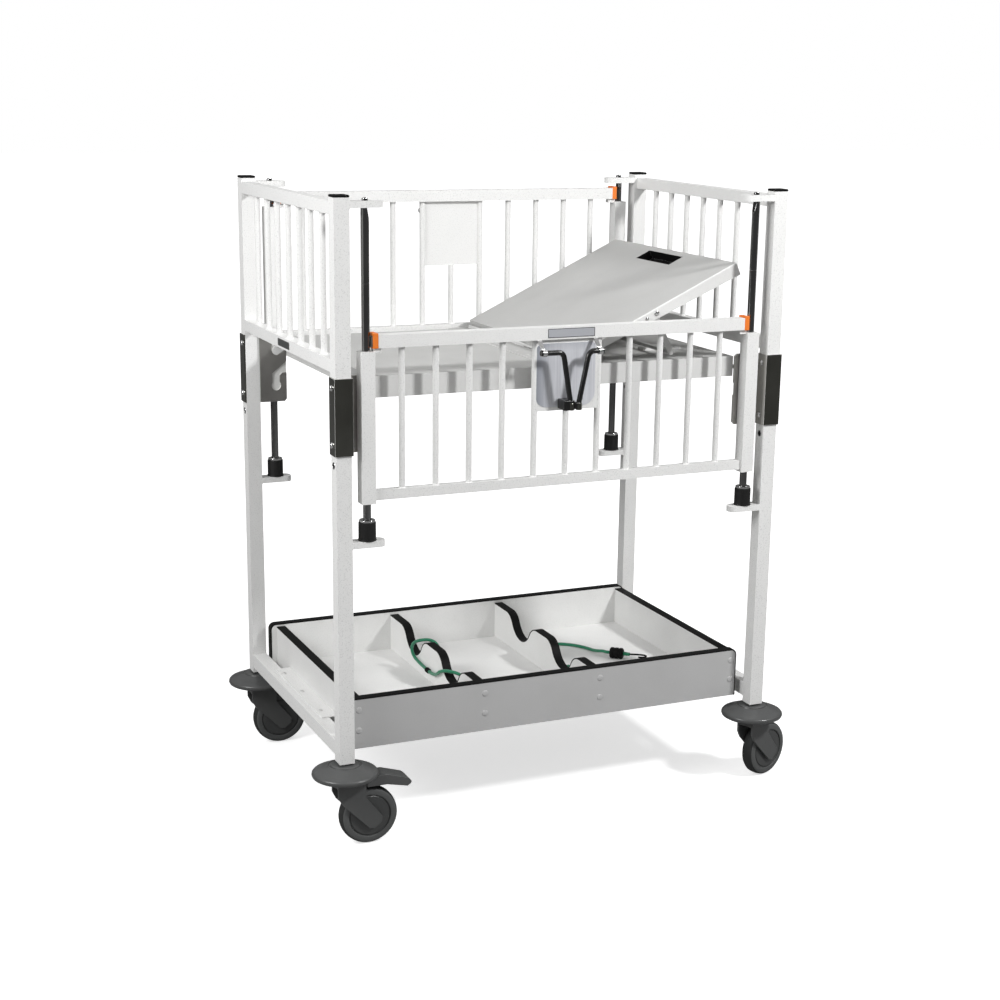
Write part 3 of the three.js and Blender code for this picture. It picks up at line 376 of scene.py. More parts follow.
coatColumns = ("tone", "specks", "scale", "share", "drift", "rough", "bump")
coatLooks = {
    "whiteCoat": ((0.82, 0.82, 0.81), (0.38, 0.38, 0.38), 520, 0.42, 0.05, 0.42, 0.25),
    "deckCoat": ((0.62, 0.62, 0.61), (0.45, 0.45, 0.45), 620, 0.25, 0.08, 0.5, 0.2),
    # The backrest top and deck top rows are darker copies of the grey deck coat as painted shade; the side
    # row is a lighter copy as painted light on the skirts
    "backTopShade": ((0.54, 0.54, 0.53), (0.4, 0.4, 0.4), 620, 0.25, 0.08, 0.5, 0.2),
    # The edge row is a paler copy of the grey deck coat, painted highlight on rounded edges
    "deckEdgeHighlight": ((0.78, 0.78, 0.77), (0.55, 0.55, 0.55), 620, 0.3, 0.06, 0.4, 0.2),
    "deckTopShade": ((0.5, 0.5, 0.49), (0.38, 0.38, 0.38), 620, 0.3, 0.08, 0.5, 0.2),
    "deckSideLit": ((0.72, 0.72, 0.71), (0.5, 0.5, 0.5), 620, 0.3, 0.06, 0.45, 0.2),
    # The pale row colours the hooks' slot floors and is painted highlight on the hooks' rounded edges
    "paleSlotAndEdgeHighlight": ((0.74, 0.74, 0.72), (0.5, 0.5, 0.48), 500, 0.4, 0.1, 0.35, 0.1),
    # The flank row is a dull copy of the hooks' steel, painted light on the flanks turned to the middle
    "flankPaintedLight": ((0.33, 0.32, 0.3), (0.24, 0.235, 0.22), 400, 0.4, 0.15, 0.34, 0.08),
    "satinPlate": ((0.42, 0.43, 0.46), (0.3, 0.31, 0.34), 700, 0.3, 0.1, 0.35, 0.08),
    "trayLaminate": ((0.77, 0.77, 0.76), (0.5, 0.5, 0.5), 700, 0.3, 0.08, 0.5, 0.12),
    # A darker copy of the tray laminate, painted shade on the outer faces of the front and back boards and
    # their screw caps
    "trayFaceShade": ((0.5, 0.5, 0.5), (0.36, 0.36, 0.36), 700, 0.3, 0.08, 0.5, 0.12),
    "edgeTrim": ((0.006, 0.006, 0.006), (0.02, 0.02, 0.02), 500, 0.3, 0.02, 0.5, 0.1),
    "bumperRubber": ((0.006, 0.006, 0.006), (0.02, 0.02, 0.02), 400, 0.4, 0.04, 0.5, 0.25),
    "casterGrey": ((0.075, 0.077, 0.077), (0.13, 0.13, 0.13), 600, 0.25, 0.12, 0.3, 0.12),
    "hubGrey": ((0.05, 0.052, 0.052), (0.1, 0.1, 0.1), 600, 0.25, 0.12, 0.36, 0.12),
    "tyreGrey": ((0.085, 0.088, 0.088), (0.15, 0.15, 0.15), 450, 0.25, 0.15, 0.55, 0.2),
    "treadGrey": ((0.022, 0.023, 0.023), (0.06, 0.06, 0.06), 450, 0.25, 0.1, 0.6, 0.25),
    "bailBlack": ((0.008, 0.008, 0.008), (0.02, 0.02, 0.02), 500, 0.3, 0.02, 0.22, 0.05),
    "boltOrange": ((0.86, 0.2, 0.012), (0.6, 0.13, 0.01), 500, 0.25, 0.1, 0.42, 0.15),
    "ferruleGreen": ((0.012, 0.22, 0.11), (0.004, 0.1, 0.05), 900, 0.5, 0.1, 0.6, 0.3),
}
coats = {name: coatMaterial(name, dict(zip(coatColumns, row))) for name, row in coatLooks.items()}
for name, shine in {"edgeTrim": 0.06, "bumperRubber": 0.35, "treadGrey": 0.3}.items():  # dull black parts
    coats[name].node_tree.nodes["Principled BSDF"].inputs["Specular IOR Level"].default_value = shine
steelColumns = ("dark", "light", "stretch", "low", "high")
steelLooks = {
    "rodSteel": ((0.16, 0.16, 0.16), (0.3, 0.3, 0.3), (300, 300, 6), 0.05, 0.16),
    # The hook row is steel painted dark as a reflection of dark surroundings
    "steelDarkReflection": ((0.13, 0.13, 0.11), (0.3, 0.3, 0.27), (300, 300, 8), 0.06, 0.18),
    # The arm row is a paler copy of that steel, painted light on the hook arms; the latch bolt noses use it
    # as plain steel
    "paleSteelAndLitArm": ((0.3, 0.29, 0.28), (0.5, 0.49, 0.47), (8, 300, 300), 0.3, 0.45),
    "boltSteel": ((0.5, 0.5, 0.5), (0.75, 0.75, 0.75), (250, 250, 250), 0.12, 0.3),
}
steels = {name: steelMaterial(name, dict(zip(steelColumns, row))) for name, row in steelLooks.items()}


# Brushed plate behind the bail, darker along its left and top edges as painted shade
plateShadeTones = {"dark": (0.3, 0.32, 0.37), "pale": (0.78, 0.79, 0.83), "left": (-73, -38), "top": (1022, 1000),
              "stretch": (300, 300, 6), "low": 0.42, "high": 0.55}


def makePlateMaterial():
    material, tree, shader = newMaterial("plateSilver", Metallic=0.45)
    streaks = setGroup(tree, streakGroup,
                       {"Stretch": plateShadeTones["stretch"], "Low": plateShadeTones["low"],
                        "High": plateShadeTones["high"]})
    where = addNode(tree, "ShaderNodeSeparateXYZ", None,
                    i0=tree.nodes.new("ShaderNodeTexCoord").outputs["Object"])
    left = band(tree, where.outputs[0], *(midX + x * mm for x in plateShadeTones["left"]))
    top = band(tree, where.outputs[2], *(z * mm for z in plateShadeTones["top"]), 0.6, 1.0)
    lines = band(tree, streaks.outputs["Height"], 0.3, 0.7, 0.75, 1.0)
    pale = maths(tree, "MULTIPLY", maths(tree, "MULTIPLY", left, top), lines)
    tone = mixColour(tree, pale, (*plateShadeTones["dark"], 1), (*plateShadeTones["pale"], 1))
    tree.links.new(tone, shader.inputs["Base Color"])
    tree.links.new(streaks.outputs["Roughness"], shader.inputs["Roughness"])
    bumpFrom(tree, shader, streaks.outputs["Height"], 0.05, 0.0003)
    return material


plateSilver = makePlateMaterial()


# Woven cover: two crossing sets of strands wound round the cord, read from the cord's own attributes
cordWeave = {"green": (0.012, 0.25, 0.12), "deep": (0.003, 0.09, 0.045), "strands": 6, "pitch": 0.011,
             "rough": 0.75}


def makeCordMaterial():
    material, tree, shader = newMaterial("cordGreen", Metallic=0.0, Sheen_Weight=0.3)
    along = addNode(tree, "ShaderNodeAttribute", {"attribute_name": "cordAlong"}).outputs["Fac"]
    sine = addNode(tree, "ShaderNodeAttribute", {"attribute_name": "cordSine"}).outputs["Fac"]
    cosine = addNode(tree, "ShaderNodeAttribute", {"attribute_name": "cordCosine"}).outputs["Fac"]
    angle = maths(tree, "MULTIPLY", maths(tree, "ARCTAN2", sine, cosine), float(cordWeave["strands"]))
    climb = maths(tree, "MULTIPLY", along, fullTurn * 2 / cordWeave["pitch"])
    left = maths(tree, "SINE", maths(tree, "ADD", climb, angle))
    right = maths(tree, "SINE", maths(tree, "SUBTRACT", climb, angle))
    weave = band(tree, maths(tree, "MULTIPLY", left, right), -0.8, 0.8)
    tone = mixColour(tree, weave, (*cordWeave["deep"], 1), (*cordWeave["green"], 1))
    tree.links.new(tone, shader.inputs["Base Color"])
    shader.inputs["Roughness"].default_value = cordWeave["rough"]
    bumpFrom(tree, shader, weave, 0.6, 0.0006)
    return material


cordGreen = makeCordMaterial()
print("finishes made")

# Camera solved from the photograph; angles in degrees, place in millimetres from the middle of the posts
view = {"place": (-1576.3, -3576.4, 1543.5), "azimuth": 24.689, "pitch": 14.986, "roll": 0.944, "lens": 64.61,
        "shift": (-0.0293, 0.0534)}


def addCamera():
    az, pitch, roll = (math.radians(view[k]) for k in ("azimuth", "pitch", "roll"))
    forward = Vector((math.sin(az) * math.cos(pitch), math.cos(az) * math.cos(pitch), -math.sin(pitch)))
    right = Vector((math.cos(az), -math.sin(az), 0))
    up = right.cross(forward)
    across = right * math.cos(roll) + up * math.sin(roll)
    upright = up * math.cos(roll) - right * math.sin(roll)
    data = bpy.data.cameras.new("photoCamera")
    data.lens = view["lens"]
    data.sensor_width = 36
    data.shift_x, data.shift_y = view["shift"]
    data.clip_end = 60
    camera = bpy.data.objects.new("photoCamera", data)
    turn = Matrix((across, upright, -forward)).transposed().to_4x4()
    camera.matrix_world = Matrix.Translation(spot(*view["place"])) @ turn
    bpy.context.scene.collection.objects.link(camera)
    bpy.context.scene.camera = camera


addCamera()

# Cords: routes from the middle of each divider, in millimetres above the tray floor
dividers = {"foot": -160, "head": 110}
cordLook = {"diameter": 7.5, "sides": 20, "step": 2.2}
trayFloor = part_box("tray_floor")[1].z / mm
footCordRoute = [
    (-14.4, 16, 26.5), (-14.4, 34, 27), (-14.6, 54, 28), (-15.4, 72, 30.6), (-17, 86.5, 35),
    (-18.6, 96, 43), (-19.4, 98.6, 53.5), (-18.8, 94, 64), (-16.6, 84, 72.4), (-11.5, 72.5, 78.4),
    (-3, 63, 82), (6.6, 55.5, 82.8), (15, 46.5, 79.6), (19.6, 35, 72.4), (20, 20, 64), (17.4, 0, 54.5),
    (15, -28, 42), (14.8, -52, 29), (17.4, -74, 16.4), (22.4, -90, 11.4), (28, -104, 15),
    (30.6, -111.5, 25.6), (27.6, -111.5, 37.6), (19.6, -105.4, 46.6), (9.4, -97, 51.6), (-0.6, -89, 53.4),
    (-9.6, -80.4, 53.4), (-15.8, -68, 48.6), (-16.2, -52, 39), (-14.8, -35, 31), (-14.4, -18, 27.4),
    (-14.4, -5, 26.5), (-14.4, 5, 26.5),
]
headCordRoute = [
    (14.4, -100, 34), (14.4, -88, 29), (14.4, -66, 21.5), (14.4, -30, 11), (14.6, 10, 5.5), (17, 60, 4),
    (27, 105, 4), (47, 135, 4), (75, 147, 4), (101, 142, 4), (122, 129, 4), (140, 110, 4), (153, 86, 4.2),
    (158.5, 62, 5.6), (162, 42, 9.6), (166, 27.5, 12.9), (170.9, 16.6, 13.3), (177, 11.5, 13.3),
]


# Smooth line through the points, evenly stepped
def easedLine(points, step):
    points = [Vector(p) for p in points]
    fine = []
    for i in range(len(points) - 1):
        p0, p1, p2, p3 = points[max(i - 1, 0)], points[i], points[i + 1], points[min(i + 2, len(points) - 1)]
        for k in range(40):
            t = k / 40
            fine.append(0.5 * (2 * p1 + (p2 - p0) * t + (2 * p0 - 5 * p1 + 4 * p2 - p3) * t * t
                               + (3 * p1 - p0 - 3 * p2 + p3) * t ** 3))
    fine.append(points[-1])
    total = sum((b - a).length for a, b in zip(fine, fine[1:]))
    count = max(8, round(total / step))
    line, walked, goal = [fine[0]], 0.0, total / count
    for a, b in zip(fine, fine[1:]):
        span = (b - a).length
        while len(line) < count and walked + span >= goal * len(line):
            line.append(a.lerp(b, (goal * len(line) - walked) / span))
        walked += span
    return line + [fine[-1]], total


def addCord(name, node, dividerX, route, pieces):
    line, length = easedLine(route, cordLook["step"])
    path = [spot(dividerX + p.x, p.y, trayFloor + p.z) for p in line]
    bm = bmesh.new()
    layers = {k: bm.verts.layers.float.new(k) for k in ("cordAlong", "cordSine", "cordCosine")}
    rings = addSweep(bm, path, cordLook["diameter"] / 2, cordLook["sides"])
    for i, ring in enumerate(rings):
        for k, vert in enumerate(ring):
            turn = fullTurn * k / cordLook["sides"]
            vert[layers["cordAlong"]] = length * mm * i / (len(rings) - 1)
            vert[layers["cordSine"]] = math.sin(turn)
            vert[layers["cordCosine"]] = math.cos(turn)
    cord = finishPiece(name, bm, "frame", cordGreen, [node])
    print(name, "length", round(length), "mm")


crimpLook = {"radius": 5.2, "ribs": 3}


# Crimped clip that joins the two ends of the looped cord
def addCrimp():
    bm = bmesh.new()
    x, z = dividers["foot"] - 14.4, trayFloor + 26.5
    start, end = spot(x, 2, z), spot(x, 19, z)
    addRod(bm, start, end, crimpLook["radius"], 24, 1.2)
    for k in range(crimpLook["ribs"]):
        middle = start.lerp(end, (k + 0.8) / (crimpLook["ribs"] + 0.6))
        addRod(bm, middle - Vector((0, 0.0012, 0)), middle + Vector((0, 0.0012, 0)),
               crimpLook["radius"] + 0.7, 24, 0.6)
    return finishPiece("cordCrimp", bm, "frame", coats["edgeTrim"])


barrelLook = {"turn": -40, "radius": 13, "length": 32, "wire": 2}


# Barrel with ribs, a coiled green ferrule and the wire hook on the loose end
def addBarrel():
    turn = Matrix.Rotation(math.radians(barrelLook["turn"]), 4, "Z")
    place = Matrix.Translation(spot(dividers["head"] + 177, 11.5, trayFloor + 13.3)) @ turn
    bm = bmesh.new()
    r, n = barrelLook["radius"], barrelLook["length"]
    profile = [(4.2, 0.6), (r - 2.5, 0.6), (r, 3), (r, 9), (r - 1.2, 10), (r - 1.2, 12), (r, 13), (r, 20),
               (r - 1.2, 21), (r - 1.2, 23), (r, 24), (r, n - 2.5), (r - 2.5, n), (4.2, n), (4.2, 0.6)]
    addTurned(bm, profile, 40, place @ Matrix.Rotation(math.pi / 2, 4, "Y"))
    hook = [(46, 0, 0), (56, 2, 0), (70, 4, 0), (80, 3.5, 0), (86.5, 0, 0), (88, -6, 0), (85, -12, 0),
            (78, -15, 0), (72, -15.4, 0)]
    line = easedLine(hook, 1.2)[0]
    addSweep(bm, [place @ (p * mm) for p in line], barrelLook["wire"], 14)
    barrel = finishPiece("hookBarrel", bm, "frame", coats["edgeTrim"], ["bungee_hook"])
    coil = bmesh.new()
    for k in range(5):
        addRod(coil, place @ inMm(n + 0.4 + 3.2 * k, 0, 0), place @ inMm(n + 3.2 + 3.2 * k, 0, 0),
               5.0 - 0.2 * k, 24, 1.2)
    ferrule = finishPiece("hookFerrule", coil, "frame", coats["ferruleGreen"])
    return [barrel, ferrule]


addCord("footBungee", "foot_bungee_cord", dividers["foot"], footCordRoute, [addCrimp()])
addCord("headBungee", "head_bungee_cord", dividers["head"], headCordRoute, addBarrel())

# Posts, end panels and base rails: folded tube with softened corners, smooth bars and weld beads
tubeLook = {"corner": 2.2, "barRadius": 6.42, "barSides": 28, "beadRadius": 2.0, "bars": 7, "pitch": 74.56,
            "bracketEnd": 404.5, "bracketRound": 4.5, "panelX": 485.3, "beadX": 465.6, "railLow": 1005.4,
            "railHigh": 1280.2, "beads": (631.3, 644, 1293.3, 1306)}
for corner, (sideX, sideY) in corners.items():
    bm = copyOf(f"{corner}_post")
    ends = [e for e in bm.edges if abs((e.verts[0].co - e.verts[1].co).normalized().z) > 0.99
            and all(abs(v.co.x - midX) < tubeLook["bracketEnd"] * mm for v in e.verts)]
    softEdges(bm, ends, tubeLook["bracketRound"], 4)
    bevelSharp(bm, tubeLook["corner"], 3)
    for z in tubeLook["beads"]:  # beads where the rod brackets meet the post
        x = sideX * tubeLook["beadX"]
        addRod(bm, spot(x, sideY * postY - 13, z), spot(x, sideY * postY + 13, z), tubeLook["beadRadius"],
               12, 0.8)
    finishPiece(f"{corner}Post", bm, "frame", coats["whiteCoat"], [f"{corner}_post"])
    softCopy(f"{corner}Cap", f"{corner}_post_cap", "frame", coats["edgeTrim"], 0.8, 2, 30)

for end, side in (("foot", -1), ("head", 1)):
    bm = copyOf(f"{end}_end_panel")
    bevelSharp(bm, tubeLook["corner"], 3)
    for k in range(tubeLook["bars"]):
        x, y = side * tubeLook["panelX"], (k - 3) * tubeLook["pitch"]
        low, high = tubeLook["railLow"], tubeLook["railHigh"]
        addRod(bm, spot(x, y, low - 0.6), spot(x, y, high + 0.6), tubeLook["barRadius"], tubeLook["barSides"])
        for z, grow in ((low, 1), (high, -1)):
            addTurned(bm, [(6.3, 0), (8.3, 0), (7.6, grow * 0.9), (6.3, grow * 2.0)], 20,
                      Matrix.Translation(spot(x, y, z)))
    finishPiece(f"{end}Panel", bm, "frame", coats["whiteCoat"], [f"{end}_end_panel"])
    softCopy(f"{end}BaseRail", f"{end}_base_rail", "frame", coats["whiteCoat"],
             tubeLook["corner"])
print("end frames made")

# Guide rods with the sloping catch flat, rubber bumpers and their washers
rodLook = {"x": 430.525, "flatFoot": 1268, "radius": 7.95, "sides": 40, "flat": 5.5, "flatLength": 24,
           "bumperSides": 56}
rodProfile = [(0, 631.3), (6, 631.3), (6, 644), (7.4, 644), (7.95, 644.6), (7.95, 1150), (7.4, 1150.6),
              (7.4, 1151.4), (7.95, 1152), (7.95, 1160), (7.95, 1268), (7.95, 1274), (7.95, 1280),
              (7.95, 1286), (7.95, 1292.4), (6, 1293.3), (6, 1309), (5.2, 1311), (3, 1312), (0, 1312.2)]
bumperProfile = [(8.25, 644), (18.1, 644), (18.5, 644.6), (18.4, 646), (17.6, 648), (17.5, 679.6),
                 (17.1, 681.4), (16.2, 682), (8.25, 682), (8.25, 644)]
washerProfile = [(8.3, 682), (15.6, 682), (16, 682.6), (16, 685.4), (15.6, 686), (8.3, 686), (8.3, 682)]
for corner, (sideX, sideY) in corners.items():
    bm = bmesh.new()
    x, y = sideX * rodLook["x"], sideY * postY
    upright = Matrix.Translation(spot(x, y, 0))
    addTurned(bm, rodProfile, rodLook["sides"], upright)
    for v in bm.verts:  # grind the flat on the side towards the middle
        z = v.co.z / mm
        if rodLook["flatFoot"] < z < 1293:
            depth = rodLook["flat"] * min(1, (z - rodLook["flatFoot"]) / rodLook["flatLength"])
            limit = (rodLook["radius"] - depth) * mm
            v.co.x = midX + x * mm - sideX * min(limit, (midX + x * mm - v.co.x) * sideX)
    finishPiece(f"{corner}Rod", bm, "frame", steels["rodSteel"], [f"{corner}_guide_rod"])
    bm = bmesh.new()
    addTurned(bm, bumperProfile, rodLook["bumperSides"], upright)
    finishPiece(f"{corner}Bumper", bm, "frame", coats["bumperRubber"], [f"{corner}_bumper"])
    bm = bmesh.new()
    addTurned(bm, washerProfile, rodLook["bumperSides"], upright)
    finishPiece(f"{corner}Washer", bm, "frame", steels["boltSteel"])

# Saddle hooks: polished plate painted dark as a reflection, paler copies painted as light on the arms and
# flanks, painted highlight on rounded edges, paler slot floors, button-head bolts
hookLook = {"edge": 1.3, "armEnd": 462, "boltRadius": 6.0, "boltHeight": 4.2, "heights": (840.15, 952.05)}
for corner, (sideX, sideY) in corners.items():
    bm = copyOf(f"{corner}_deck_hook")
    slotY = sideY * (292.25 + 3.2) * mm
    for face in bm.faces:
        middle = face.calc_center_median()
        # arm faces take a paler copy of the steel as painted light
        if abs(middle.x - midX) < hookLook["armEnd"] * mm:
            face.material_index = 2
        if face.normal.x * sideX < -0.9:  # flanks turned to the middle take a paler copy of the steel as painted light
            face.material_index = 3
        if abs(middle.y - slotY) < 0.0004 and abs(face.normal.y) > 0.9:
            face.material_index = 1
    bevelSharp(bm, hookLook["edge"], 2, 60)
    # rounded edges take the pale coat as painted highlight
    markEdges(bm, 1)
    finishPiece(f"{corner}Hook", bm, "frame",
                [steels["steelDarkReflection"], coats["paleSlotAndEdgeHighlight"], steels["paleSteelAndLitArm"], coats["flankPaintedLight"]],
                [f"{corner}_deck_hook"])
    bm = bmesh.new()
    for z in hookLook["heights"]:
        for x, grow in ((sideX * 501.0, sideX), (sideX * 463.25, -sideX)):
            turn = Vector((0, 0, 1)).rotation_difference(Vector((grow, 0, 0))).to_matrix().to_4x4()
            r, h = hookLook["boltRadius"], hookLook["boltHeight"]
            addTurned(bm, [(0, h - 1.8), (2.2, h - 1.8), (2.4, h), (r * 0.6, h - 0.2), (r * 0.9, h * 0.6),
                           (r, 0.4), (r, 0), (0, 0)], 24,
                      Matrix.Translation(spot(x, sideY * postY, z)) @ turn)
    finishPiece(f"{corner}HookBolts", bm, "frame", steels["boltSteel"])
print("rods and hooks made")

# Gates: softened tube frame, smooth bars with weld collars, bare plate behind the bail
gateLook = {"edge": 1.8, "bars": 11, "pitch": 71.4, "barRadius": 6.42, "barFoot": 26, "barHead": 307.4,
            "panelFoot": 161.4}
bailLook = {"ends": (-75, 65), "shoulders": (-25, 33), "feet": (-6, 11), "standoff": 36, "pivot": 284.4,
            "fall": 108, "radius": 5.5, "grip": (-23, 1)}
plateLook = {"left": -71, "right": 62, "low": 169, "high": 299, "rounds": (10, 14, 24, 26), "thick": 0.9}


# Corner radii run from the upper right round to the left
def roundedOutline(x0, x1, y0, y1, radii, steps=6):
    points = []
    for i, radius in enumerate(radii):
        cx = x1 - radius if i in (0, 3) else x0 + radius
        cy = y1 - radius if i < 2 else y0 + radius
        for k in range(steps + 1):
            turn = math.radians(90 * i + 90 * k / steps)
            points.append((cx + radius * math.cos(turn), cy + radius * math.sin(turn)))
    return points


railPlateLook = {"box": (-49, 56, 310.8, 329.4), "border": 1.5}
guideLook = {"nose": 416.5, "outside": (-13.4, 13.4, 307, 336.4), "hole": (-10.8, 10.8, 309.3, 330.9),
             "span": (409.1, 420.2), "edge": 1.0}
strapLook = {"places": (-67.5, 57.5), "wide": 9, "thick": 1.2, "wrap": 6.9}


# A square sleeve between two x stations, with a square hole through it; boxes are y0, y1, z0, z1
def addSleeve(bm, x0, x1, outside, hole):
    before = set(bm.verts)
    edges = []
    for y0, y1, z0, z1 in (outside, hole):
        loop = [bm.verts.new(inMm(x0, y, z)) for y, z in ((y0, z0), (y1, z0), (y1, z1), (y0, z1))]
        edges += [bm.edges.new(pair) for pair in zip(loop, loop[1:] + loop[:1])]
    faces = bmesh.ops.bridge_loops(bm, edges=edges)["faces"]
    grown = bmesh.ops.extrude_face_region(bm, geom=faces)["geom"]
    bmesh.ops.translate(bm, vec=((x1 - x0) * mm, 0, 0), verts=vertsIn(grown))
    bmesh.ops.recalc_face_normals(bm, faces=facesOf(newVerts(bm, before)))


# The bail hangs on bent steel straps here, so the solid's gussets come off the copy and the wall is closed
def dropGussets(bm, local):
    def isGusset(vert):
        p = local @ vert.co / mm
        return p.y < -6.5 and 240 < p.z < 307.2 and abs(p.x) < 80
    bmesh.ops.delete(bm, geom=[f for f in bm.faces if any(isGusset(v) for v in f.verts)], context="FACES")
    closed = bmesh.ops.holes_fill(bm, edges=[e for e in bm.edges if e.is_boundary], sides=0)["faces"]
    bmesh.ops.triangulate(bm, faces=closed)


# A strap runs from under the rail, down behind the bail and once round it
def strapLine(x):
    line = [(-3, 306.6), (-8, 306.6), (-12.5, 306.5), (-14.6, 305.8), (-16.4, 304.2), (-22, 298.6),
            (-28, 292.8), (-29.6, 290.6)]
    for k in range(28):
        turn = math.radians(28 - 12 * k)
        line.append((-bailLook["standoff"] + strapLook["wrap"] * math.cos(turn),
                     bailLook["pivot"] + strapLook["wrap"] * math.sin(turn)))
    return [inMm(x, y, z) for y, z in line]


for side, out, base in (("front", -1, 719), ("back", 1, 949)):
    place = Matrix.Translation(spot(0, out * postY, base))
    if out > 0:
        place = place @ Matrix.Rotation(math.pi, 4, "Z")
    bm = copyOf(f"{side}_gate")
    dropGussets(bm, place.inverted())
    bevelSharp(bm, gateLook["edge"], 3)
    for k in range(gateLook["bars"]):
        x = (k - 5) * gateLook["pitch"]
        top = gateLook["panelFoot"] if k == 5 else gateLook["barHead"]
        addRod(bm, place @ inMm(x, 0, gateLook["barFoot"]), place @ inMm(x, 0, top), gateLook["barRadius"],
               28)
        addTurned(bm, [(6.3, 0), (8.2, 0), (7.6, 0.9), (6.3, 2)], 20,
                  place @ Matrix.Translation(inMm(x, 0, gateLook["barFoot"])))
        if k not in (4, 5, 6):
            addTurned(bm, [(6.3, 0), (8.2, 0), (7.6, -0.9), (6.3, -2)], 20,
                      place @ Matrix.Translation(inMm(x, 0, gateLook["barHead"])))
    finishPiece(f"{side}Gate", bm, f"{side}_gate", coats["whiteCoat"], [f"{side}_gate"])
    bm = bmesh.new()
    for x in strapLook["places"]:
        addStrip(bm, strapLine(x), strapLook["wide"], strapLook["thick"], Vector((1, 0, 0)))
    bmesh.ops.transform(bm, matrix=place, verts=bm.verts)
    finishPiece(f"{side}Straps", bm, f"{side}_gate", steels["boltSteel"])
    if side == "front":  # bare plates, as far as the photograph shows them
        outline = roundedOutline(plateLook["left"], plateLook["right"], plateLook["low"], plateLook["high"],
                                 plateLook["rounds"])
        bm = bmesh.new()
        addPlate(bm, outline, plateLook["thick"], place @ Matrix.Translation(inMm(0, -5.35, 0)) @ standUp,
                 0.3)
        finishPiece("frontPlate", bm, "front_gate", plateSilver)
        bm = bmesh.new()
        addPlate(bm, roundedOutline(*railPlateLook["box"], (1.2,) * 4, 3), 0.5,
                 place @ Matrix.Translation(inMm(0, -12.6, 0)) @ standUp, 0)
        face = min(bm.faces, key=lambda f: f.calc_center_median().y)
        for rim in bmesh.ops.inset_region(bm, faces=[face], thickness=railPlateLook["border"] * mm,
                                          depth=0)["faces"]:
            rim.material_index = 1
        finishPiece("frontRailPlate", bm, "front_gate", [coats["satinPlate"], coats["casterGrey"]])
    # bail: bent rod with a moulded grip
    bm = bmesh.new()
    for end, shoulder, foot in zip(bailLook["ends"], bailLook["shoulders"], bailLook["feet"]):
        way, top, low = math.copysign(1, end), bailLook["pivot"], bailLook["pivot"] - bailLook["fall"]
        lean = (foot - shoulder) / (low - top)
        bend = [(end, top), (shoulder + way * 22, top), (shoulder + way * 11, top),
                (shoulder + way * 6.5, top - 0.6), (shoulder + way * 2.8, top - 2.8),
                (shoulder + way * 0.6 + lean * -5, top - 6.4), (shoulder + lean * -11, top - 11),
                (shoulder + lean * -22, top - 22), (foot, low)]
        line = easedLine([(x, -bailLook["standoff"], z) for x, z in bend], 2.2)[0]
        addSweep(bm, [place @ (p * mm) for p in line], bailLook["radius"], 24)
    x0, x1 = bailLook["grip"]
    made = addBox(bm, inMm(x0, -42, 165.9), inMm(x1, -7.2, 186.9), 2.6, 4)
    made += addBox(bm, inMm(x1 - 1, -42, 168), inMm(x1 + 15, -29, 183), 3.5, 4)
    for x in bailLook["feet"]:  # ferrules that hold the ends of the two arms
        ring = addRod(bm, inMm(x, -37.6, 166), inMm(x, -37.6, 181), 6.6, 24, 1.4)
        for face in facesOf(ring):
            face.material_index = 1
        made += ring
    bmesh.ops.transform(bm, matrix=place, verts=made)
    # ferrules take the steel painted dark as a reflection
    finishPiece(f"{side}Bail", bm, f"{side}_latch_bail", [coats["bailBlack"], steels["steelDarkReflection"]],
                [f"{side}_latch_bail"])
    for end, way in (("foot", -1), ("head", 1)):
        bolt = copyOf(f"{side}_{end}_latch_bolt")
        nose = spot(way * guideLook["nose"], 0, 0)
        bmesh.ops.bisect_plane(bolt, geom=bolt.verts[:] + bolt.edges[:] + bolt.faces[:], plane_co=nose,
                               plane_no=(1, 0, 0))
        for face in bolt.faces:
            if (face.calc_center_median().x - nose.x) * way > 1e-5:
                face.material_index = 1
        bevelSharp(bolt, 1.5, 3)
        finishPiece(f"{side}{end.title()}Bolt", bolt, f"{side}_{end}_latch_bolt",
                    [coats["boltOrange"], steels["paleSteelAndLitArm"]],
                    [f"{side}_{end}_latch_bolt"])
        bm = bmesh.new()
        addSleeve(bm, *(-out * way * x for x in guideLook["span"]), guideLook["outside"], guideLook["hole"])
        bevelSharp(bm, guideLook["edge"], 2)
        bmesh.ops.transform(bm, matrix=place, verts=bm.verts)
        finishPiece(f"{side}{end.title()}Guide", bm, f"{side}_gate", coats["boltOrange"])
print("gates made")

# Deck, backrest and prop
deckLook = {"edge": 1.2, "fold": 2.4, "hinge": (36, 0, 970.5), "tilt": 25.3, "cup": (364.4, 402.4),
            "cupHigh": 15.2, "cupLow": -4.8, "screws": 10, "leafTop": 968}
bm = copyOf("deck_pan")
# top faces take a darker copy of the deck coat as painted shade, the rest a lighter copy as painted light
for face in bm.faces:
    if face.normal.z > 0.9:
        face.material_index = 2
bevelSharp(bm, deckLook["edge"], 3)
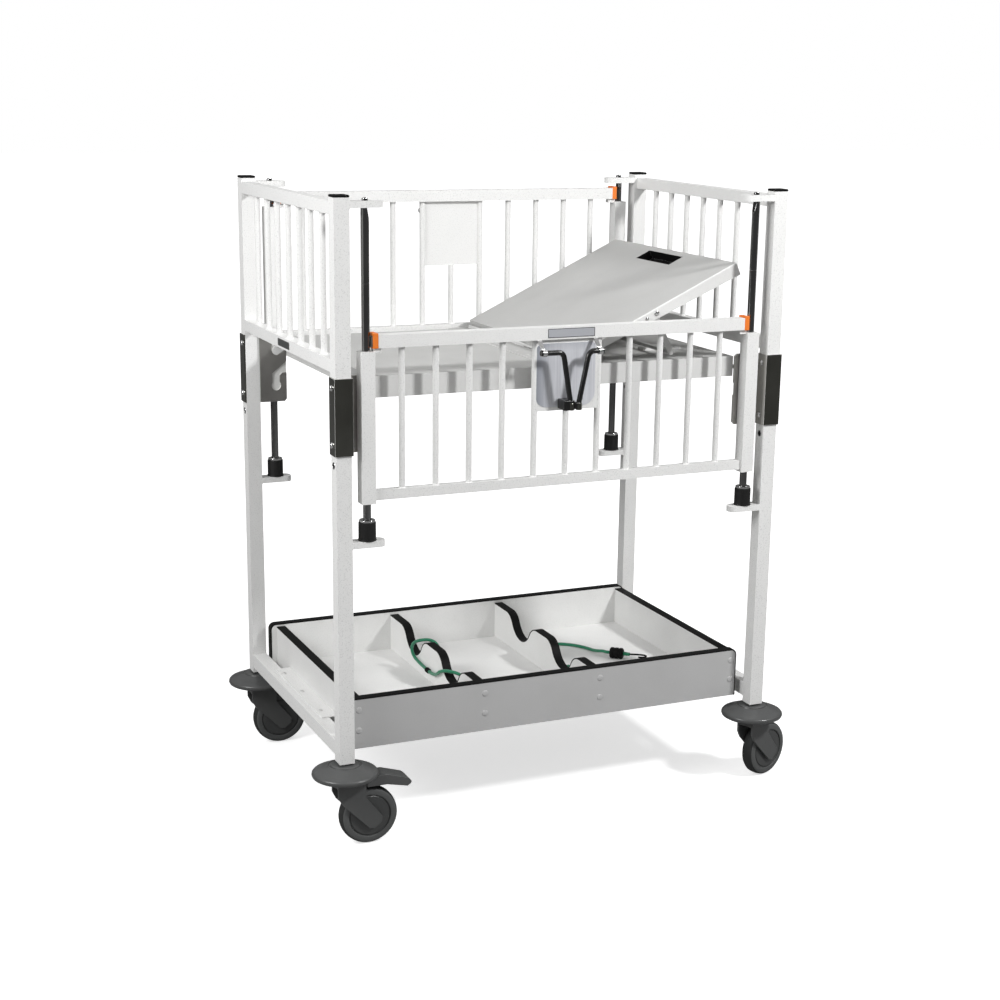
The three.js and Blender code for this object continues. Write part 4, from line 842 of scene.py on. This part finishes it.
# rounded edges take a paler copy as painted highlight
markEdges(bm, 1)
finishPiece("deckPan", bm, "frame", [coats["deckSideLit"], coats["deckEdgeHighlight"], coats["deckTopShade"]],
            ["deck_pan"])
bm = bmesh.new()  # screws of the hinge leaf
for k in range(deckLook["screws"]):
    addTurned(bm, slotProfile(3.4, 0.9), 20,
              facing(spot(-8, (k - (deckLook["screws"] - 1) / 2) * 56, deckLook["leafTop"]), (0, 0, 1)))
finishPiece("leafScrews", bm, "frame", coats["deckCoat"])
bm = copyOf("backrest_panel")
tilt = Matrix.Translation(spot(*deckLook["hinge"])) @ Matrix.Rotation(-math.radians(deckLook["tilt"]), 4, "Y")
flat = tilt.inverted()
for face in bm.faces:
    p = flat @ face.calc_center_median() / mm
    inward = flat.to_3x3() @ face.normal
    inCup = deckLook["cup"][0] - 0.1 < p.x < deckLook["cup"][1] + 0.1 and abs(p.y) < 77.1
    if inCup and deckLook["cupLow"] - 0.1 < p.z < deckLook["cupHigh"] - 0.1 and inward.z > -0.5:
        face.material_index = 1
    # skirts take a lighter copy of the coat as painted light; the top keeps a darker copy as painted shade
    elif abs(inward.y) > 0.9:
        face.material_index = 3
folds = [e for e in bm.edges if e.calc_face_angle(0) > 1 and any(f.material_index == 3 for f in e.link_faces)
         and all((flat @ v.co).z / mm > 15 for v in e.verts)]
softEdges(bm, folds, deckLook["fold"], 3)
bevelSharp(bm, deckLook["edge"], 3)
# rounded edges take a paler copy as painted highlight
markEdges(bm, 2, flat.to_3x3())
finishPiece("backrestPanel", bm, "backrest",
            [coats["backTopShade"], coats["edgeTrim"], coats["deckEdgeHighlight"], coats["deckSideLit"]],
            ["backrest_panel"])
softCopy("backrestProp", "backrest_prop", "backrest_prop", coats["deckCoat"], 0.8, 2)
print("deck made")

# Tray boards with black edge trim
trayLook = {"edge": 0.8, "trim": 2.0, "over": 0.4}
for node in ("tray_foot_board", "tray_head_board", "tray_floor", "tray_front_board", "tray_back_board",
             "foot_divider", "head_divider"):
    bm = copyOf(node)
    if node in ("tray_front_board", "tray_back_board"):
        out = -1 if "front" in node else 1
        # outer faces of the front and back boards take a darker copy of the laminate as painted shade
        for face in bm.faces:
            if face.normal.y * out > 0.9:
                face.material_index = 1
    bevelSharp(bm, trayLook["edge"], 2)
    finishPiece(node.title().replace("_", ""), bm, "frame", [coats["trayLaminate"], coats["trayFaceShade"]],
                [node])


# Edge trim laps over the board's faces a little
def addTrim(bm, points, wide, across):
    addStrip(bm, points, wide + 2 * trayLook["over"], trayLook["trim"], across)


def arcPoints(cx, cy, radius, start, end, steps):
    turns = [start + (end - start) * k / steps for k in range(steps + 1)]
    return [(cx + radius * math.cos(turn), cy + radius * math.sin(turn)) for turn in turns]


cradleLook = {"tall": 83.5, "radius": 57, "rise": 8, "lip": 42}


def dividerProfile():
    tall, radius, rise, lip = (cradleLook[k] for k in ("tall", "radius", "rise", "lip"))
    reach = math.sqrt((radius + lip) ** 2 - (lip + rise) ** 2)
    lean = math.atan2(lip + rise, reach)
    points = [(267.5, tall)]
    for middle in (112, -112):
        points += arcPoints(middle + reach, tall - lip, lip, math.pi / 2, math.pi - lean, 14)
        points += arcPoints(middle, tall + rise, radius, -lean, lean - math.pi, 36)[1:]
        points += arcPoints(middle - reach, tall - lip, lip, lean, math.pi / 2, 14)[1:]
    return points + [(-267.5, tall)]


for name, x in dividers.items():
    bm = bmesh.new()
    addTrim(bm, [spot(x, y, trayFloor + z) for y, z in dividerProfile()], 19, Vector((-1, 0, 0)))
    finishPiece(f"{name}DividerTrim", bm, "frame", coats["edgeTrim"])
for name, y in (("front", -277.5), ("back", 277.5)):
    bm = bmesh.new()
    around = [(-462, 194.5), (-462, 290)] + arcPoints(-450, 290, 12, math.pi, math.pi / 2, 8)[1:]
    around += arcPoints(438, 290, 12, math.pi / 2, 0, 8) + [(450, 194.5)]
    addTrim(bm, [spot(px, y, pz) for px, pz in around], 19, Vector((0, 1, 0)))
    finishPiece(f"{name}BoardTrim", bm, "frame", coats["edgeTrim"])
for name, x in (("foot", -439), ("head", 439)):
    bm = bmesh.new()
    addTrim(bm, [spot(x, 267.5, 296), spot(x, 0, 296), spot(x, -267.5, 296)], 19, Vector((-1, 0, 0)))
    finishPiece(f"{name}BoardTrim", bm, "frame", coats["edgeTrim"])
for end, side in (("foot", -1), ("head", 1)):
    softCopy(f"{end}Angle", f"{end}_tray_angle", "frame", coats["whiteCoat"], 0.8, 2)
print("tray made")

# Casters: dished bumper disc, fork, wheel with ringed hub, brake pedal
casterLook = {"sides": 72, "edge": 1.6, "axle": (48, 0, 61.73), "turn": {"head_front": 20}}
discProfile = [(0, 147.4), (30, 147.4), (34, 147.8), (58, 150.2), (63.4, 151), (66.8, 153), (68.4, 156.4),
               (68, 160), (65.8, 162.6), (61.8, 164.4), (54, 166.8), (46, 170.2), (38.4, 174.2),
               (34.8, 176), (33.6, 175), (31, 175.2), (30, 177.4), (28.4, 178), (16, 178), (13, 178),
               (13, 222), (0, 222)]
wheelProfile = [(6.3, 13.6), (13, 13.6), (14.5, 14.6), (18, 14.6), (19, 13.8), (24, 13.8), (25, 14.4),
                (40.5, 14.4), (42, 13.8), (42.8, 12.4), (44.4, 12.4), (45.2, 14.6), (46.4, 15.4),
                (54, 15.2), (58, 13.2), (60.6, 9.6), (61.6, 4), (61.73, 0)]
for corner, (sideX, sideY) in corners.items():
    middle = spot(sideX * postX, sideY * postY, 0)
    bm = bmesh.new()
    addTurned(bm, discProfile, casterLook["sides"], Matrix.Translation(middle))
    finishPiece(f"{corner}Disc", bm, "frame", coats["casterGrey"], [f"{corner}_caster_disc"])
    fork = f"{corner}_caster_fork"
    softCopy(f"{corner}Fork", fork, fork, coats["casterGrey"], casterLook["edge"])
    turn = Matrix.Rotation(math.radians(casterLook["turn"].get(corner, 0)), 4, "Z")
    place = Matrix.Translation(middle) @ turn @ Matrix.Translation(inMm(*casterLook["axle"])) @ standUp
    bm = bmesh.new()
    addTurned(bm, wheelProfile + [(r, -h) for r, h in wheelProfile[-2::-1]] + [wheelProfile[0]],
              casterLook["sides"], place)
    for face in bm.faces:
        p = place.inverted() @ face.calc_center_median() / mm
        if p.xy.length > 45:
            face.material_index = 1 if abs(p.z) > 12.5 else 2
    finishPiece(f"{corner}Wheel", bm, f"{corner}_wheel",
                [coats["hubGrey"], coats["tyreGrey"], coats["treadGrey"]],
                [f"{corner}_wheel"])
softCopy("brakePedal", "brake_pedal", "brake_pedal", coats["casterGrey"], casterLook["edge"])
print("casters made")

# Small fittings: plugs, screw caps, screw heads and bare plates
fitLook = {"plugHeight": 799, "capRows": (278, 234), "capPlaces": (-442, -161, 110, 437),
           "screwPlaces": (-130, 0, 130)}
for corner, (sideX, sideY) in corners.items():
    bm = bmesh.new()
    for way in (-1, 1):
        place = facing(spot(sideX * postX + way * 15.875, sideY * postY, fitLook["plugHeight"]), (way, 0, 0))
        rim = addTurned(bm, [(5.4, -0.6), (5.4, 0.5), (5.8, 1.0), (6.8, 1.0), (7.3, 0.5), (7.4, -0.6),
                             (5.4, -0.6)], 32, place)
        for face in facesOf(rim):
            face.material_index = 1
        addTurned(bm, domeProfile(5.4, 0.4), 28, place)
    finishPiece(f"{corner}Plugs", bm, "frame", [coats["edgeTrim"], steels["boltSteel"]])
for side, out in (("front", -1), ("back", 1)):
    bm = bmesh.new()
    for x in fitLook["capPlaces"]:
        for z in fitLook["capRows"]:
            addTurned(bm, domeProfile(6.8, 1.5), 32, facing(spot(x, out * 287, z), (0, out, 0)))
    # caps take the darker laminate copy painted as shade
    finishPiece(f"{side}ScrewCaps", bm, "frame", coats["trayFaceShade"])
    bm = bmesh.new()
    addTurned(bm, slotProfile(6.0, 2.6), 28, facing(tilt @ inMm(208, out * 281.5, 5), (0, out, 0)))
    addTurned(bm, slotProfile(4.2, 2.0), 28, facing(tilt @ inMm(183, out * 281.5, 5), (0, out, 0)))
    finishPiece(f"{side}PivotScrews", bm, "backrest", steels["boltSteel"])
for end, side in (("foot", -1), ("head", 1)):
    bm = bmesh.new()
    for y in fitLook["screwPlaces"]:
        addTurned(bm, slotProfile(4.8, 2.8), 28, facing(spot(side * 474, y, 229.15), (0, 0, 1)))
    finishPiece(f"{end}AngleScrews", bm, "frame", coats["deckCoat"])
bm = bmesh.new()
turn = Matrix(((0, 0, -1, 0), (-1, 0, 0, 0), (0, 1, 0, 0), (0, 0, 0, 1)))  # faces the foot end
addPlate(bm, roundedOutline(-45, 33, -7.6, 7.6, (1.5,) * 4, 3), 0.9,
         Matrix.Translation(spot(-498, 0, 992.7)) @ turn, 0.25)
finishPiece("footRailPlate", bm, "frame", coats["hubGrey"])
print("fittings made")

# Floor, light and world
stageLook = {"floor": 30.0, "white": 0.8, "bounce": 0.3, "glow": (0.6, 1.0), "reach": (0.9, 2.4),
             "fill": (0.21, 0.42), "shine": (0.03, 0.5)}


def addFloor():
    bm = bmesh.new()
    bmesh.ops.create_grid(bm, x_segments=1, y_segments=1, size=stageLook["floor"])
    mesh = bpy.data.meshes.new("floor")
    bm.to_mesh(mesh)
    bm.free()
    floor = bpy.data.objects.new("floor", mesh)
    bpy.context.scene.collection.objects.link(floor)
    material, tree, shader = newMaterial("floorWhite", Roughness=0.9)
    seen = tree.nodes.new("ShaderNodeLightPath").outputs["Is Camera Ray"]
    white, bounce = stageLook["white"], stageLook["bounce"]
    tone = mixColour(tree, seen, (bounce, bounce, bounce, 1), (white, white, white, 1))
    tree.links.new(tone, shader.inputs["Base Color"])
    shader.inputs["Emission Color"].default_value = (1, 1, 1, 1)
    where = tree.nodes.new("ShaderNodeTexCoord").outputs["Object"]
    away = addNode(tree, "ShaderNodeVectorMath", {"operation": "LENGTH"}, i0=where).outputs["Value"]
    glow = band(tree, away, *stageLook["reach"], *stageLook["glow"])  # plain white further off
    tree.links.new(maths(tree, "MULTIPLY", seen, glow), shader.inputs["Emission Strength"])
    mesh.materials.append(material)


def addWorld():
    world = bpy.data.worlds.new("studio")
    bpy.context.scene.world = world
    world.use_nodes = True
    tree = world.node_tree
    tree.nodes.clear()
    path = tree.nodes.new("ShaderNodeLightPath")
    where = tree.nodes.new("ShaderNodeTexCoord").outputs["Generated"]
    height = addNode(tree, "ShaderNodeSeparateXYZ", None, i0=where).outputs[2]
    fill = band(tree, height, -0.1, 0.8, *stageLook["fill"])
    shine = band(tree, height, 0.05, 0.75, *stageLook["shine"])
    glossy = path.outputs["Is Glossy Ray"]
    matt = maths(tree, "MULTIPLY", maths(tree, "SUBTRACT", 1.0, glossy), fill)
    lit = maths(tree, "ADD", maths(tree, "MULTIPLY", glossy, shine), matt)
    seen = maths(tree, "MAXIMUM", path.outputs["Is Camera Ray"], path.outputs["Is Transmission Ray"])
    strength = maths(tree, "MAXIMUM", lit, seen)
    sky = addNode(tree, "ShaderNodeBackground", None, Color=(1, 1, 1, 1), Strength=strength)
    out = tree.nodes.new("ShaderNodeOutputWorld")
    tree.links.new(sky.outputs[0], out.inputs[0])


def addLamp(name, place, aim, power, size):
    data = bpy.data.lights.new(name, "AREA")
    data.energy = power
    data.shape = "DISK"
    data.size = size
    lamp = bpy.data.objects.new(name, data)
    start = Vector(place)
    turn = (Vector(aim) - start).to_track_quat("-Z", "Y").to_matrix().to_4x4()
    lamp.matrix_world = Matrix.Translation(start) @ turn
    bpy.context.scene.collection.objects.link(lamp)


addFloor()
addWorld()
addLamp("keyFrontRight", (1.5, -2.1, 2.55), (0, 0, 0.9), 70, 0.4)
addLamp("softLeft", (-2.3, -0.7, 1.9), (0, 0, 0.9), 45, 1.2)
addLamp("softTop", (0.2, 0.5, 3.2), (0, 0, 0.9), 10, 2.0)
bpy.context.scene.view_settings.view_transform = "Standard"
print("stage made")
